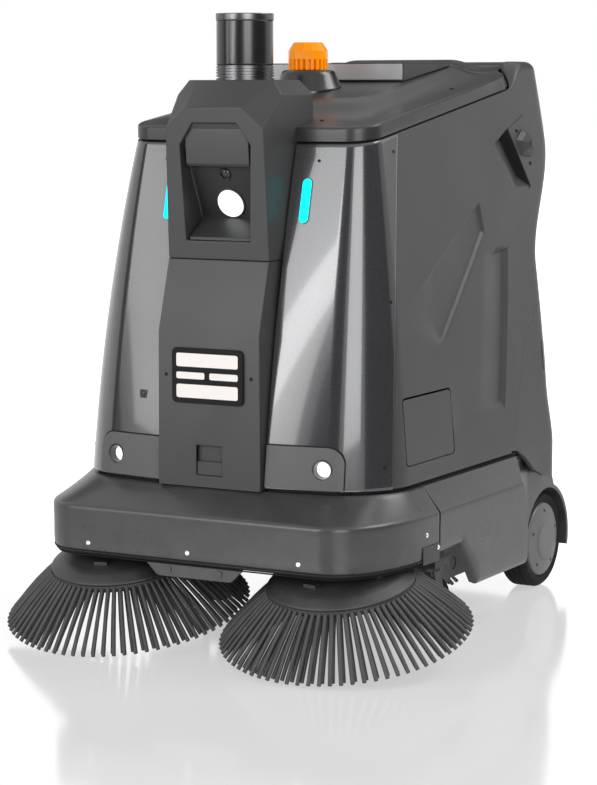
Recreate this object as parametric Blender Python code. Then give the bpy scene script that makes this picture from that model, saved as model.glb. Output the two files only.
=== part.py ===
"""Robotic floor cleaner: a sweeping machine with two side brushes, a roller brush and a rear hopper.

Metres, +Z up, floor at Z = 0, front towards -Y, symmetric about X = 0 but for the side hatch.
"""

import math

import bmesh
import bpy
import numpy as np
from mathutils import Vector

# Clearances
GAP = 0.0003            # between faces that touch
RUN = 0.0006            # round a pin that turns in its hole
SEAM = 0.0008           # open line between two body panels
SINK = 0.002            # how far joined lumps reach into each other

# Overall reach of the brush tips in front and of the hopper's handle behind
REACH = 0.564

# Body walls: sizes at the foot, then at the shoulder
WALL = 0.004
FOOT_Z = 0.311
SHOULDER_Z = 0.92
FOOT_HALF = 0.320
SHOULDER_HALF = 0.247
FOOT_FRONT_Y = -0.427
SHOULDER_FRONT_Y = -0.305
FOOT_CORNER = 0.100
SHOULDER_CORNER = 0.048
FOOT_BOW = 0.45
SHOULDER_BOW = 0.10
LEAN_START = 0.55       # share of the lean that is spread evenly over the height

# Rear of the body
WAIST_Y = 0.405
WAIST_Z = 0.66
CROWN_Y = 0.530
CROWN_Z = 0.91
REAR_FLARE = 0.015
REAR_FLARE_Z = 0.42
WAIST_CORNER = 0.070
CROWN_CORNER = 0.072

# Seams between the front shells, the side panels and the rear shell
FRONT_SEAM_FOOT_Y = -0.327
FRONT_SEAM_TOP_Y = -0.188
REAR_SEAM_Y = 0.333
SEAM_START = 0.32       # share of the front seam's lean that is spread evenly over the height

# Lid, and the hoop of the rear shell round its back end
LID_FRONT_Z = 0.910
LID_SLOPE = 0.149
LID_RIM = 0.027
LID_BEVEL = 0.004
LID_CROWN = 0.030
LID_FLANGE_SHARE = 0.80
LID_CROWN_SHARE = 0.64
LID_CENTRE_Y = 0.080
HOOP_TOP_Z = 1.058
HOOP_WIDTH = 0.050
HOOP_ROUND = 0.022
HOOP_RISE = 0.090
LID_STEP = 0.020
LID_SEAM = 0.002        # between the lid's edge and the hoop
LID_DRAFT = 0.975       # how far the rim's top is drawn in beside the hoop
LID_DRAFT_Y = 0.150     # where that starts

# Trim round the foot: bumper and skirts
TRIM_WALL = 0.005
TRIM_TOP = 0.304
TRIM_HALF = 0.358
TRIM_FRONT_Y = -0.497
TRIM_CORNER_X = 0.120
TRIM_CORNER_Y = 0.257
TRIM_SQUARE = 0.82      # 1 gives an elliptic corner, less a squarer one
CREASE_Z = 0.2545
BUMPER_BOTTOM = 0.175
TRIM_REVEAL = 0.004
FLANGE = 0.025
SKIRT_SEAM_Y = -0.234
SKIRT_CUT_Z = 0.186
SKIRT_FOOT_Z = 0.100
SKIRT_REAR_Y = 0.158
SKIRT_CREASE_Y = 0.134
SKIRT_TOP_Y = 0.179
SKIRT_STRAIGHT_Z = 0.190
SKIRT_CUT_SHARE = 0.25
SKIRT_FOOT_SHARE = 0.43
NOSE_HALF = 0.100
NOSE_DROP = 0.025

# Deck
DECK_THICK = 0.008
DECK_INSET = 0.010
DECK_REAR_HALF = 0.288
DECK_STEP_Y = 0.400
DECK_CORNER = 0.030
DECK_TAIL_HALF = 0.200
DECK_SHORT = 0.006      # how far the deck ends before the hopper's box

# Spine cover, sensor head and ranging sensor
SPINE_HALF = 0.104
SPINE_TOP_HALF = 0.102
SPINE_FRONT_Y = -0.434
SPINE_BREAK_Z = 0.578
SPINE_TOP_Z = 0.705
SPINE_TOP_Y = -0.398
SPINE_BACK_Y = -0.285
HEAD_HALF = 0.105
HEAD_BROW_HALF = 0.0985
HEAD_BROW_Z = 0.934
HEAD_PEAK_HALF = 0.055
HEAD_PEAK_Z = 0.971
HEAD_PEAK_Y = -0.414
HEAD_PEAK_CORNER = 0.001
HEAD_SHOULDER_Z = 0.994
HEAD_SHOULDER_Y = -0.3585
HEAD_TOP_Z = 1.019
HEAD_TOP_HALF = 0.0862
HEAD_TOP_Y = -0.3513
HEAD_FLAT_HALF = 0.0564
HEAD_FLAT_Y = -0.373
HEAD_REAR_Y = -0.240
HEAD_REAR_TOP_HALF = 0.078
HEAD_REAR_FLAT_HALF = 0.050
WINDOW_BOTTOM_Z = 0.738
WINDOW_BOTTOM_HALF = 0.0645
WINDOW_BROW_Z = 0.906
WINDOW_BROW_HALF = 0.0715
WINDOW_TOP_Z = 0.944
WINDOW_TOP_HALF = 0.045
WINDOW_SLANT = 0.40
WINDOW_TOP_Y = -0.408
LENS_R = 0.008
LENS_Z = 0.855
LAMP_R = 0.026
LAMP_Z = 0.803
RANGER_R = 0.0515
RANGER_Y = -0.302
RANGER_BASE_H = 0.026
RANGER_WINDOW_H = 0.0777
RANGER_CAP_H = 0.0123

# Lights on the front
STATUS_HALF = 0.072
STATUS_BOTTOM_Z = 0.4535
STATUS_TOP_Z = 0.5515
STATUS_THICK = 0.003
STATUS_BORDER = 0.011
STATUS_BACK = 0.0015
PLATE_COLUMNS = 9       # the plate spans these columns of the shell's grid
PLATE_SHARE = 0.585     # and this share of the shell's width
PLATE_TOP_Z = 0.386
PLATE_THICK = 0.003
HEADLIGHT_X = 0.211
HEADLIGHT_Z = 0.347
HEADLIGHT_R = 0.0155
HEADLIGHT_DEPTH = 0.022
HEADLIGHT_RECESS = 0.001
BAR_X = 0.139
BAR_HALF = 0.009
BAR_BOTTOM_Z = 0.7705
BAR_TOP_Z = 0.8475
BAR_THICK = 0.0025

# Console and beacon on the lid
CONSOLE_HALF = 0.150
CONSOLE_FRONT_Y = 0.030
CONSOLE_DEPTH = 0.205
CONSOLE_TOP_Z = 1.052
SCREEN_HALF = 0.085
SCREEN_DEPTH = 0.110
SCREEN_THICK = 0.003
SCREEN_EDGE = 0.020     # from the console's front to the screen
STOP_X = 0.060          # on the back of the rear shell
STOP_Z = 0.950
STOP_R = 0.019
STOP_STEM_R = 0.007
STOP_STEM_L = 0.014     # behind the wall's outer face
STOP_KNOB_H = 0.011
STOP_TRAVEL = 0.004
BEACON_Y = -0.066
BEACON_R = 0.0365
BEACON_H = 0.050
BEACON_BASE_R = 0.062
BEACON_BASE_H = 0.036

# Side hatch with its tray, and the side camera pods
HATCH_FRONT_Y = -0.288
HATCH_REAR_Y = -0.091
HATCH_BOTTOM_Z = 0.344
HATCH_TOP_Z = 0.463
HATCH_GAP = 0.0005
HATCH_THICK = 0.003
TRAY_DEPTH = 0.045
TRAY_WALL = 0.003
TRAY_CLEAR = 0.0016     # behind the panel's curved wall
POD_Y = 0.366
POD_Z = 0.896
POD_SIZE = 0.028
POD_OUT = 0.010

# Drive wheels, brackets and fenders
WHEEL_R = 0.097
WHEEL_Y = 0.434
WHEEL_IN_X = 0.213
WHEEL_OUT_X = 0.273
HUB_R = 0.0745
CAP_OUT = 0.0080
AXLE_R = 0.015
BRACKET_IN_X = 0.180
BRACKET_OUT_X = 0.198
FENDER_IN_X = 0.2136
FENDER_OUT_X = 0.281
FENDER_WALL = 0.009
ARCH_R = 0.105
FENDER_FRONT_Y = 0.215
CHEEK_OUT_X = 0.322     # the cheek slants from here, behind the skirt, to the wheel arch
CHEEK_BOTTOM_Z = 0.110

# Casters
CASTER_X = 0.235
CASTER_Y = -0.030
CASTER_R = 0.045
CASTER_W = 0.030
CASTER_TRAIL = 0.028
CASTER_TOP_Z = 0.118
CASTER_PLATE_R = 0.028
CASTER_PLATE_H = 0.008
FORK_ARM = 0.005
POST_HALF = 0.030
PIN_R = 0.006

# Side brushes, in the brush's own tilted frame: heights above the tip plane
BRUSH_X = 0.2268
BRUSH_TILT = math.radians(12.5)
TIP_R = 0.2240
TIP_LIFT = 0.0008
ROOT_R = 0.131
RING_BOTTOM = 0.080
RING_H = 0.0140
RING_BORE = 0.064
STRANDS_PER_ROW = 76
STRAND_HALF = 0.0030
INNER_TIP_SHORT = 0.010
HUB_H = 0.0368
MOTOR_R = 0.042
MOTOR_H = 0.044
ARM_THICK = 0.010
ARM_HALF = 0.016
PIVOT_Y = -0.200
PIVOT_Z = 0.238
BARREL_R = 0.011
LUG_GAP_HALF = 0.022
LUG_W = 0.010

# Roller brush, its chamber and motor
ROLLER_R = 0.085
ROLLER_Y = 0.160
ROLLER_HALF = 0.182
ROLLER_CLEAR = 0.0025
ROLLER_LOBES = 6
ROLLER_RIDGE = 0.006
ROLLER_TWIST = math.radians(50)
SHAFT_R = 0.012
CHAMBER_R = 0.094
CHAMBER_HALF = 0.190
CHAMBER_END = 0.010
CHAMBER_WALL = 0.006
CHAMBER_BOTTOM = 0.060
CHAMBER_LIP_Z = 0.105
THROAT_HALF = 0.150
THROAT_H = 0.050
DRIVE_R = 0.045
DRIVE_L = 0.064

# Hopper on its rails
HOPPER_HALF = 0.165
HOPPER_FRONT_Y = 0.268
HOPPER_BOTTOM = 0.050
HOPPER_TOP = 0.245
HOPPER_WALL = 0.004
HOPPER_LIP = 0.011
HOPPER_LIP_H = 0.006
HOPPER_SILL = 0.115
HOPPER_FACE = 0.014
HOPPER_FACE_HALF = 0.178
HANDLE_OUT = 0.019
HANDLE_HALF = 0.060
HANDLE_BAR = 0.008
HANDLE_Z = 0.180
HANDLE_H = 0.016
RAIL_H = 0.008

# Inner pieces on the deck
BATTERY_HALF = 0.190
BATTERY_FRONT_Y = -0.060
BATTERY_DEPTH = 0.200
BATTERY_H = 0.190
BOX_HALF = 0.130
BOX_DEPTH = 0.160
BOX_H = 0.090
BLOWER_R = 0.085
BLOWER_Y = 0.270
BLOWER_H = 0.100
BLOWER_WALL = 0.004
FAN_R = 0.070
FAN_H = 0.060
FAN_BLADES = 9

# Values that follow from the sizes above
DECK_TOP = TRIM_TOP - TRIM_WALL - GAP
DECK_BOTTOM = DECK_TOP - DECK_THICK
RING_TOP = RING_BOTTOM + RING_H
HUB_BOTTOM = RING_TOP + GAP
HUB_TOP = HUB_BOTTOM + HUB_H
MOTOR_BOTTOM = HUB_TOP + GAP
ARM_BOTTOM = MOTOR_BOTTOM + MOTOR_H
BRUSH_Y = -REACH + (TIP_R + 0.7 * STRAND_HALF) * math.cos(BRUSH_TILT)
BRUSH_Z = TIP_LIFT + TIP_R * math.sin(BRUSH_TILT) + STRAND_HALF
ROLLER_Z = ROLLER_R + ROLLER_CLEAR
FENDER_R = ARCH_R + FENDER_WALL
HOPPER_REAR_Y = REACH - HANDLE_OUT - HOPPER_FACE
DECK_REAR_Y = HOPPER_REAR_Y - DECK_SHORT
RAIL_TOP = HOPPER_TOP - HOPPER_LIP_H - GAP
FRONT_POINTS = 21
REAR_LEVELS = np.array([0.0, 0.16, 0.32, 0.46, 0.56, 0.65, 0.74, 0.82, 0.89, 0.935, 0.97, 1.0])
ROUND = 20
WHEEL_ROUND = 28


def mix(a, b, share):
    """The value that lies the given share of the way from a to b."""
    return a + (b - a) * share


def smooth(share):
    """A share that starts and ends gently, held between 0 and 1."""
    share = np.clip(share, 0.0, 1.0)
    return share * share * (3.0 - 2.0 * share)


def material(name, colour, roughness, metallic=0.0, glow=0.0):
    """A plain surface of one colour."""
    made = bpy.data.materials.new(name)
    made.use_nodes = True
    shader = made.node_tree.nodes["Principled BSDF"]
    shader.inputs["Base Color"].default_value = (*colour, 1.0)
    shader.inputs["Roughness"].default_value = roughness
    shader.inputs["Metallic"].default_value = metallic
    shader.inputs["Emission Color"].default_value = (*colour, 1.0)
    shader.inputs["Emission Strength"].default_value = glow
    return made


def grid_faces(rows, columns, first=0, wrap=False):
    """Four-sided faces of a grid of points that is stored row by row."""
    faces = []
    for i in range(rows - 1):
        for j in range(columns if wrap else columns - 1):
            k = (j + 1) % columns
            a = first + i * columns
            faces.append((a + j, a + k, a + columns + k, a + columns + j))
    return faces


def thick_patch(outer, inner):
    """A closed sheet between two grids of points of the same size."""
    outer = np.asarray(outer)
    inner = np.asarray(inner)
    rows, columns = outer.shape[:2]
    size = rows * columns
    points = np.concatenate([outer.reshape(-1, 3), inner.reshape(-1, 3)])
    faces = grid_faces(rows, columns) + grid_faces(rows, columns, size)
    edge = [j for j in range(columns)]
    edge += [i * columns + columns - 1 for i in range(1, rows)]
    edge += [(rows - 1) * columns + j for j in range(columns - 2, -1, -1)]
    edge += [i * columns for i in range(rows - 2, 0, -1)]
    for a, b in zip(edge, edge[1:] + edge[:1]):
        faces.append((a, b, b + size, a + size))
    return points, faces


def loops_solid(loops):
    """A closed skin over a stack of loops, with a flat face at each end."""
    loops = np.asarray(loops)
    count, points = loops.shape[:2]
    faces = grid_faces(count, points, wrap=True)
    faces.append(tuple(range(points)))
    faces.append(tuple(range((count - 1) * points, count * points)))
    return loops.reshape(-1, 3), faces


def mirrored_loft(sections):
    """A closed skin over sections that are given by their right half, from bottom to top."""
    right = np.asarray(sections)
    left = right[:, ::-1] * (-1.0, 1.0, 1.0)
    loops = np.concatenate([right, left], axis=1)
    return loops_solid(loops)


def on_axis(radius, angle, height, axis):
    """Points round the named axis, as columns x, y and z."""
    across = radius * np.cos(angle)
    up = radius * np.sin(angle)
    height = height + 0.0 * across
    order = {"X": (height, across, up), "Y": (across, height, up), "Z": (across, up, height)}
    return np.stack(order[axis], axis=-1)


def turned(profile, axis="Z", bored=False, segments=ROUND):
    """A profile of (radius, height) pairs turned round an axis, with a bore if asked."""
    angle = np.linspace(0.0, 2.0 * np.pi, segments, endpoint=False)
    loops = np.array([on_axis(r, angle, h, axis) for r, h in profile])
    if not bored:
        return loops_solid(loops)
    points = loops.reshape(-1, 3)
    faces = grid_faces(len(profile), segments, wrap=True)
    last = (len(profile) - 1) * segments
    for j in range(segments):
        k = (j + 1) % segments
        faces.append((last + j, last + k, k, j))
    return points, faces


def rod(radius, low, high, axis="Z", segments=ROUND):
    """A round bar from low to high along an axis."""
    return turned([(radius, low), (radius, high)], axis, segments=segments)


def prism(outline, axis, low, high):
    """An outline in the plane across the axis, carried from low to high along it."""
    outline = np.asarray(outline, float)
    slot = "XYZ".index(axis)
    loops = [np.insert(outline, slot, level, axis=1) for level in (low, high)]
    return loops_solid(loops)


def box(low, high):
    """A box between two corners."""
    corners = [(low[0], low[1]), (high[0], low[1]), (high[0], high[1]), (low[0], high[1])]
    return prism(corners, "Z", low[2], high[2])


def moved(solid, shift):
    """A solid carried along by a shift."""
    points, faces = solid
    return np.asarray(points) + np.asarray(shift), faces


def flipped(solid):
    """The mirror image of a solid on the other side of X = 0."""
    points, faces = solid
    return np.asarray(points) * (-1.0, 1.0, 1.0), faces


def sided(solid, side):
    """A right-hand solid, or its mirror image for the left."""
    return solid if side > 0 else flipped(solid)


def make_mesh(name, solids):
    """One mesh of the given solids, with every face turned outwards."""
    shape = bmesh.new()
    for points, faces in solids:
        corners = [shape.verts.new(tuple(map(float, p))) for p in points]
        for face in faces:
            shape.faces.new([corners[i] for i in face])
    bmesh.ops.recalc_face_normals(shape, faces=shape.faces[:])
    mesh = bpy.data.meshes.new(name)
    shape.to_mesh(mesh)
    shape.free()
    return mesh


def add(name, solid, surface, place=(0.0, 0.0, 0.0), parent=None, round_shape=False):
    """A named piece, with its points measured from its own place."""
    mesh = make_mesh(name, [solid])
    mesh.materials.append(surface)
    if round_shape:
        mesh.shade_smooth()
        mesh.set_sharp_from_angle(angle=math.radians(35))
    piece = bpy.data.objects.new(name, mesh)
    piece.location = place
    piece.parent = parent
    bpy.context.scene.collection.objects.link(piece)
    return piece


def change(piece, operation, solids):
    """Join solids to a piece, or cut them out of it, in the piece's own frame."""
    tool = bpy.data.objects.new(piece.name + "_" + operation.lower(), make_mesh(piece.name, solids))
    tool.parent = piece
    tool.hide_render = True
    tool.display_type = "WIRE"
    bpy.context.scene.collection.objects.link(tool)
    step = piece.modifiers.new(operation.title(), "BOOLEAN")
    step.operation = operation
    step.object = tool
    step.solver = "EXACT"


def empty(name, place, tilt=0.0, parent=None):
    """A point that carries pieces, tilted about X."""
    made = bpy.data.objects.new(name, None)
    made.location = place
    made.rotation_euler = (tilt, 0.0, 0.0)
    made.parent = parent
    bpy.context.scene.collection.objects.link(made)
    return made


def lean(z):
    """Share of the way from the foot's outline to the shoulder's at a height."""
    t = max(0.0, (z - FOOT_Z) / (SHOULDER_Z - FOOT_Z))
    return LEAN_START * t + (1.0 - LEAN_START) * t * t


def outline(z):
    """Right half of the body's plan outline at a height, from the front's middle to the rear's."""
    share = lean(z)
    crown = smooth((z - WAIST_Z) / (CROWN_Z - WAIST_Z))
    flare = smooth((REAR_FLARE_Z - z) / (REAR_FLARE_Z - FOOT_Z))
    half = mix(FOOT_HALF, SHOULDER_HALF, share)
    front = mix(FOOT_FRONT_Y, SHOULDER_FRONT_Y, share)
    corner = mix(FOOT_CORNER, SHOULDER_CORNER, share)
    bow = mix(FOOT_BOW, SHOULDER_BOW, share)
    back = mix(WAIST_Y, CROWN_Y, crown) + REAR_FLARE * flare
    rear_corner = mix(WAIST_CORNER, CROWN_CORNER, crown)
    turn = np.linspace(0.0, np.pi / 2.0, 13)
    flat = np.linspace(0.0, half - corner, FRONT_POINTS - len(turn), endpoint=False)
    x = np.concatenate([flat, half - corner + corner * np.sin(turn)])
    y = np.concatenate([flat * 0.0, corner - corner * np.cos(turn)]) + front + bow * x * x
    x = np.concatenate([x, half - rear_corner + rear_corner * np.cos(turn), [0.0]])
    y = np.concatenate([y, back - rear_corner + rear_corner * np.sin(turn), [back]])
    return np.stack([x, y], axis=1)


def distances(line):
    """Distance along a line at each of its points."""
    steps = np.linalg.norm(np.diff(line, axis=0), axis=1)
    return np.concatenate([[0.0], np.cumsum(steps)])


def at_x(place):
    """The mark where the front of an outline passes the x that place gives for its height."""
    return lambda z, line, s: np.interp(place(z), line[:FRONT_POINTS, 0], s[:FRONT_POINTS])


def at_y(place):
    """The mark where an outline passes the y that place gives for its height."""
    return lambda z, line, s: np.interp(place(z), line[:, 1], s)


def at_rear(z, line, s):
    """The mark at the middle of an outline's rear."""
    return s[-1]


def wall_point(z, share, start, stop):
    """Point and outward normal on the body's wall, part of the way between two marks."""
    line = outline(z)
    s = distances(line)
    here = mix(start(z, line, s), stop(z, line, s), share)

    def at(q):
        return np.array([np.interp(q, s, line[:, 0]), np.interp(q, s, line[:, 1])])

    along = at(min(here + 0.002, s[-1])) - at(max(here - 0.002, 0.0))
    along /= np.linalg.norm(along)
    return at(here), np.array([along[1], -along[0]])


def wall_grid(start, stop, top, levels, shares, bottom=FOOT_Z):
    """Grids of points and normals on the wall, from its bottom to the height top(y)."""
    points = np.zeros((len(levels), len(shares), 3))
    normals = np.zeros((len(levels), len(shares), 3))
    for i, level in enumerate(levels):
        for j, share in enumerate(shares):
            z = mix(bottom, SHOULDER_Z, level)
            for _ in range(4):
                spot, normal = wall_point(z, share, start, stop)
                z = mix(bottom, top(spot[1]), level)
            points[i, j] = (*spot, z)
            normals[i, j, :2] = normal
    return points, normals


def even(count):
    """Evenly spread shares from 0 to 1."""
    return np.linspace(0.0, 1.0, count)


def along_grid(grid, columns, heights):
    """Points and normals on the first columns of a wall grid at the given heights."""
    points, normals = grid
    made = [[], []]
    for z in heights:
        for part, found in zip((points, normals), made):
            heights_up = points[:, :columns, 2]
            row = [[np.interp(z, heights_up[:, j], part[:, j, k]) for k in range(3)] for j in range(columns)]
            found.append(row)
    return np.array(made[0]), np.array(made[1])


def lid_under(y):
    """Height of the lid's lower edge."""
    return LID_FRONT_Z + LID_SLOPE * (y - SHOULDER_FRONT_Y)


def front_seam(z):
    """Y of the seam between a front shell and a side panel."""
    t = (z - FOOT_Z) / (SHOULDER_Z - FOOT_Z)
    return mix(FRONT_SEAM_FOOT_Y, FRONT_SEAM_TOP_Y, SEAM_START * t + (1.0 - SEAM_START) * t * t)


def hoop_share(y):
    """How far the hoop has risen beside the lid."""
    return smooth((y - REAR_SEAM_Y) / HOOP_RISE)


def hoop_inset(y):
    """Distance from the body's outline to the lid's edge beside the hoop."""
    start = WALL + LID_SEAM
    step = smooth((y - REAR_SEAM_Y) / LID_STEP + 1.0)
    return start * step + (HOOP_WIDTH - start) * hoop_share(y)


def hoop_top(y):
    """Height of the rear shell's top edge."""
    return mix(lid_under(y), HOOP_TOP_Z, hoop_share(y))


def spine_front(z):
    """Y of the spine cover's front."""
    return mix(SPINE_FRONT_Y, SPINE_TOP_Y, max(0.0, (z - SPINE_BREAK_Z) / (SPINE_TOP_Z - SPINE_BREAK_Z)))


def spine_half(z):
    """Half width of the gap between the front shells, for the spine cover and the head."""
    return np.interp(z, (SPINE_BREAK_Z, mix(SPINE_BREAK_Z, SPINE_TOP_Z, 0.5)), (SPINE_HALF, HEAD_HALF))


def panel_x(z):
    """Half width of the body at its straight sides."""
    return mix(FOOT_HALF, SHOULDER_HALF, lean(z))


def build_deck(paint):
    """Deck plate with caster posts, wheel brackets, hopper rails and brush lugs."""
    start, stop = at_x(lambda z: 0.0), at_y(lambda z: REAR_SEAM_Y)
    edge, normal = wall_grid(start, stop, lambda y: FOOT_Z, [0.0], even(16))
    right = (edge - DECK_INSET * normal)[0][:, :2]
    rear = [(DECK_REAR_HALF, REAR_SEAM_Y + 0.04), (DECK_REAR_HALF, DECK_STEP_Y)]
    rear.append((DECK_REAR_HALF - DECK_CORNER, DECK_STEP_Y + DECK_CORNER))
    rear += [(DECK_TAIL_HALF, DECK_STEP_Y + DECK_CORNER), (DECK_TAIL_HALF, DECK_REAR_Y)]
    right = np.concatenate([right[1:], rear])
    plan = np.concatenate([right, right[::-1] * (-1.0, 1.0)])
    deck = add("chassis_frame", prism(plan, "Z", DECK_BOTTOM, DECK_TOP), paint)
    top = DECK_BOTTOM + SINK
    post_bottom = CASTER_TOP_Z + GAP
    bracket = [(WHEEL_Y - 0.075, top), (WHEEL_Y - 0.03, WHEEL_R - 0.03)]
    bracket += [(WHEEL_Y + 0.03, WHEEL_R - 0.03), (WHEEL_Y + 0.075, top)]
    rail_in = HOPPER_HALF + SEAM
    rail_web = HOPPER_HALF + HOPPER_LIP + SEAM
    rail_out = BRACKET_IN_X - SEAM
    rail = [(rail_in, RAIL_TOP - RAIL_H), (rail_out, RAIL_TOP - RAIL_H), (rail_out, top)]
    rail += [(rail_web, top), (rail_web, RAIL_TOP), (rail_in, RAIL_TOP)]
    lumps = []
    pins = []
    for side in (1, -1):
        post = box((CASTER_X - POST_HALF, CASTER_Y - POST_HALF, post_bottom),
                   (CASTER_X + POST_HALF, CASTER_Y + POST_HALF, top))
        lumps.append(sided(post, side))
        lumps.append(sided(prism(bracket, "X", BRACKET_IN_X, BRACKET_OUT_X), side))
        lumps.append(sided(prism(rail, "Y", HOPPER_FRONT_Y + 0.01, DECK_REAR_Y - 0.01), side))
        for shift in (-LUG_GAP_HALF - LUG_W, LUG_GAP_HALF):
            lug = box((BRUSH_X + shift, PIVOT_Y - 0.014, PIVOT_Z - 0.014),
                      (BRUSH_X + shift + LUG_W, PIVOT_Y + 0.014, top))
            lumps.append(sided(lug, side))
        pin = rod(PIN_R + RUN, post_bottom - SINK, post_bottom + 0.03)
        pins.append(sided(moved(pin, (CASTER_X, CASTER_Y, 0.0)), side))
        axle = rod(AXLE_R + RUN, BRACKET_IN_X - SINK, BRACKET_OUT_X + SINK, "X")
        pins.append(sided(moved(axle, (0.0, WHEEL_Y, WHEEL_R)), side))
        lug_reach = LUG_GAP_HALF + LUG_W + SINK
        pivot = rod(PIN_R + RUN, -lug_reach, lug_reach, "X")
        pins.append(sided(moved(pivot, (BRUSH_X, PIVOT_Y, PIVOT_Z)), side))
    change(deck, "UNION", lumps)
    change(deck, "DIFFERENCE", pins)


def shell_grids():
    """Wall grids of the right front shell, the right side panel and the right half of the rear shell."""
    front_start = at_x(lambda z: spine_half(z) + SEAM)
    front_shares = np.concatenate([PLATE_SHARE * even(PLATE_COLUMNS), mix(PLATE_SHARE, 1.0, even(5)[1:])])
    front = wall_grid(front_start, at_y(front_seam), lid_under, even(10), front_shares)
    panel_shares = (0.0, 0.04, 0.08, 0.13, 0.35, 0.6, 0.8, 1.0)
    panel_start = at_y(lambda z: front_seam(z) + SEAM)
    panel = wall_grid(panel_start, at_y(lambda z: REAR_SEAM_Y), lid_under, even(8), panel_shares)
    rear_start = at_y(lambda z: REAR_SEAM_Y + SEAM)
    rear = wall_grid(rear_start, at_rear, hoop_top, REAR_LEVELS, even(10))
    return front, panel, rear


def headlight_spot():
    """Middle of the right headlight on the shell, and the way it faces."""
    spot, normal = wall_point(HEADLIGHT_Z, 0.0, at_x(lambda z: HEADLIGHT_X), at_rear)
    return np.array([*spot, HEADLIGHT_Z]), np.array([*normal, 0.0])


def facing_rod(spot, normal, radius, low, high):
    """A round bar that points along a level normal."""
    points, faces = rod(radius, low, high)
    points = np.asarray(points)
    across = np.array([-normal[1], normal[0], 0.0])
    up = np.array([0.0, 0.0, 1.0])
    return spot + points[:, :1] * across + points[:, 1:2] * up + points[:, 2:] * normal, faces


def build_shells(gloss, grey, seal_black):
    """Front shells, side panels, rear shell and the seal under them."""
    front, panel, (points, normals) = shell_grids()
    light_hole = facing_rod(*headlight_spot(), HEADLIGHT_R + GAP, -0.03, 0.03)
    low = (panel_x(HATCH_TOP_Z) - TRAY_DEPTH, HATCH_FRONT_Y - HATCH_GAP, HATCH_BOTTOM_Z - HATCH_GAP)
    high = (panel_x(HATCH_BOTTOM_Z) + TRAY_DEPTH, HATCH_REAR_Y + HATCH_GAP, HATCH_TOP_Z + HATCH_GAP)
    hatch_hole = box(low, high)
    for side, word in ((-1, "left"), (1, "right")):
        shell = thick_patch(front[0], front[0] - WALL * front[1])
        piece = add(word + "_front_shell", sided(shell, side), gloss, round_shape=True)
        change(piece, "DIFFERENCE", [sided(light_hole, side)])
        shell = thick_patch(panel[0], panel[0] - WALL * panel[1])
        piece = add(word + "_side_panel", sided(shell, side), grey, round_shape=True)
        if side > 0:
            change(piece, "DIFFERENCE", [hatch_hole])

    y = points[..., 1]
    rim = smooth((REAR_LEVELS - 0.935) / 0.065)[:, None] * hoop_share(y)
    thick = smooth((REAR_LEVELS - 0.89) / 0.045)[:, None]
    round_in = HOOP_ROUND * rim * rim
    outer = points - round_in[..., None] * normals
    depth = np.maximum(WALL + round_in, (hoop_inset(y) - LID_SEAM) * thick)
    inner = points - depth[..., None] * normals
    whole = [np.concatenate([g, g[:, -2::-1] * (-1.0, 1.0, 1.0)], axis=1) for g in (outer, inner)]
    piece = add("rear_shell", thick_patch(*whole), grey, round_shape=True)
    stop_hole = rod(STOP_STEM_R + RUN, CROWN_Y - WALL - SINK, CROWN_Y + SINK, "Y")
    change(piece, "DIFFERENCE", [moved(stop_hole, (STOP_X, 0.0, STOP_Z))])

    start = at_x(lambda z: SPINE_HALF + 0.006)
    points, normals = wall_grid(start, at_rear, lambda y: FOOT_Z, [0.0], even(22))
    ring = []
    for inset in (0.006, 0.016):
        low = points[0] - inset * normals[0]
        grid = np.stack([low + (0.0, 0.0, z - FOOT_Z) for z in (TRIM_TOP + GAP, FOOT_Z - GAP)])
        ring.append(np.concatenate([grid, grid[:, -2::-1] * (-1.0, 1.0, 1.0)], axis=1))
    add("body_seal", thick_patch(*ring), seal_black)


def lid_outline():
    """Right half of the lid's outline, drawn in beside and behind the hoop."""
    front_start = at_x(lambda z: 0.0)
    rear_start = at_y(lambda z: REAR_SEAM_Y)
    marks = [(front_start, at_y(front_seam), even(14)), (at_y(front_seam), rear_start, even(6)[1:])]
    marks.append((rear_start, at_rear, even(10)[1:]))
    parts = [wall_grid(start, stop, lid_under, [1.0], shares) for start, stop, shares in marks]
    points = np.concatenate([p[0] for p, n in parts])
    normals = np.concatenate([n[0] for p, n in parts])
    return points - hoop_inset(points[:, 1])[:, None] * normals


def lid_plane(points, height):
    """Points moved to a height above the lid's lower edge plane."""
    moved_points = points.copy()
    moved_points[:, 2] = lid_under(points[:, 1]) + height
    return moved_points


def lid_top(y):
    """Height of the raised middle of the lid."""
    return lid_under(y) + LID_RIM + LID_CROWN


def build_lid(satin):
    """Inclined lid with a rim, a flange and a raised middle, notched for the sensor head."""
    right = lid_outline()
    rim = np.concatenate([right[:-1], right[:0:-1] * (-1.0, 1.0, 1.0)])
    middle = np.array([0.0, LID_CENTRE_Y, 0.0])

    def ring(share, height):
        return lid_plane(middle + (rim - middle) * share, height)

    bevel = 1.0 - LID_BEVEL / SHOULDER_HALF
    draft = mix(1.0, LID_DRAFT, smooth((rim[:, 1:2] - LID_DRAFT_Y) / (REAR_SEAM_Y - LID_DRAFT_Y)))
    loops = [ring(1.0, SEAM), ring(draft, LID_RIM - LID_BEVEL), ring(draft * bevel, LID_RIM)]
    loops.append(ring(LID_FLANGE_SHARE, LID_RIM + 0.25 * LID_CROWN))
    loops.append(ring(LID_CROWN_SHARE, LID_RIM + LID_CROWN))
    lid = add("top_lid", loops_solid(loops), satin, round_shape=True)
    reach = HEAD_HALF + SEAM
    notch = box((-reach, SHOULDER_FRONT_Y - 0.05, LID_FRONT_Z - 0.05),
                (reach, HEAD_REAR_Y + SEAM, HEAD_TOP_Z))
    change(lid, "DIFFERENCE", [notch])


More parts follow.
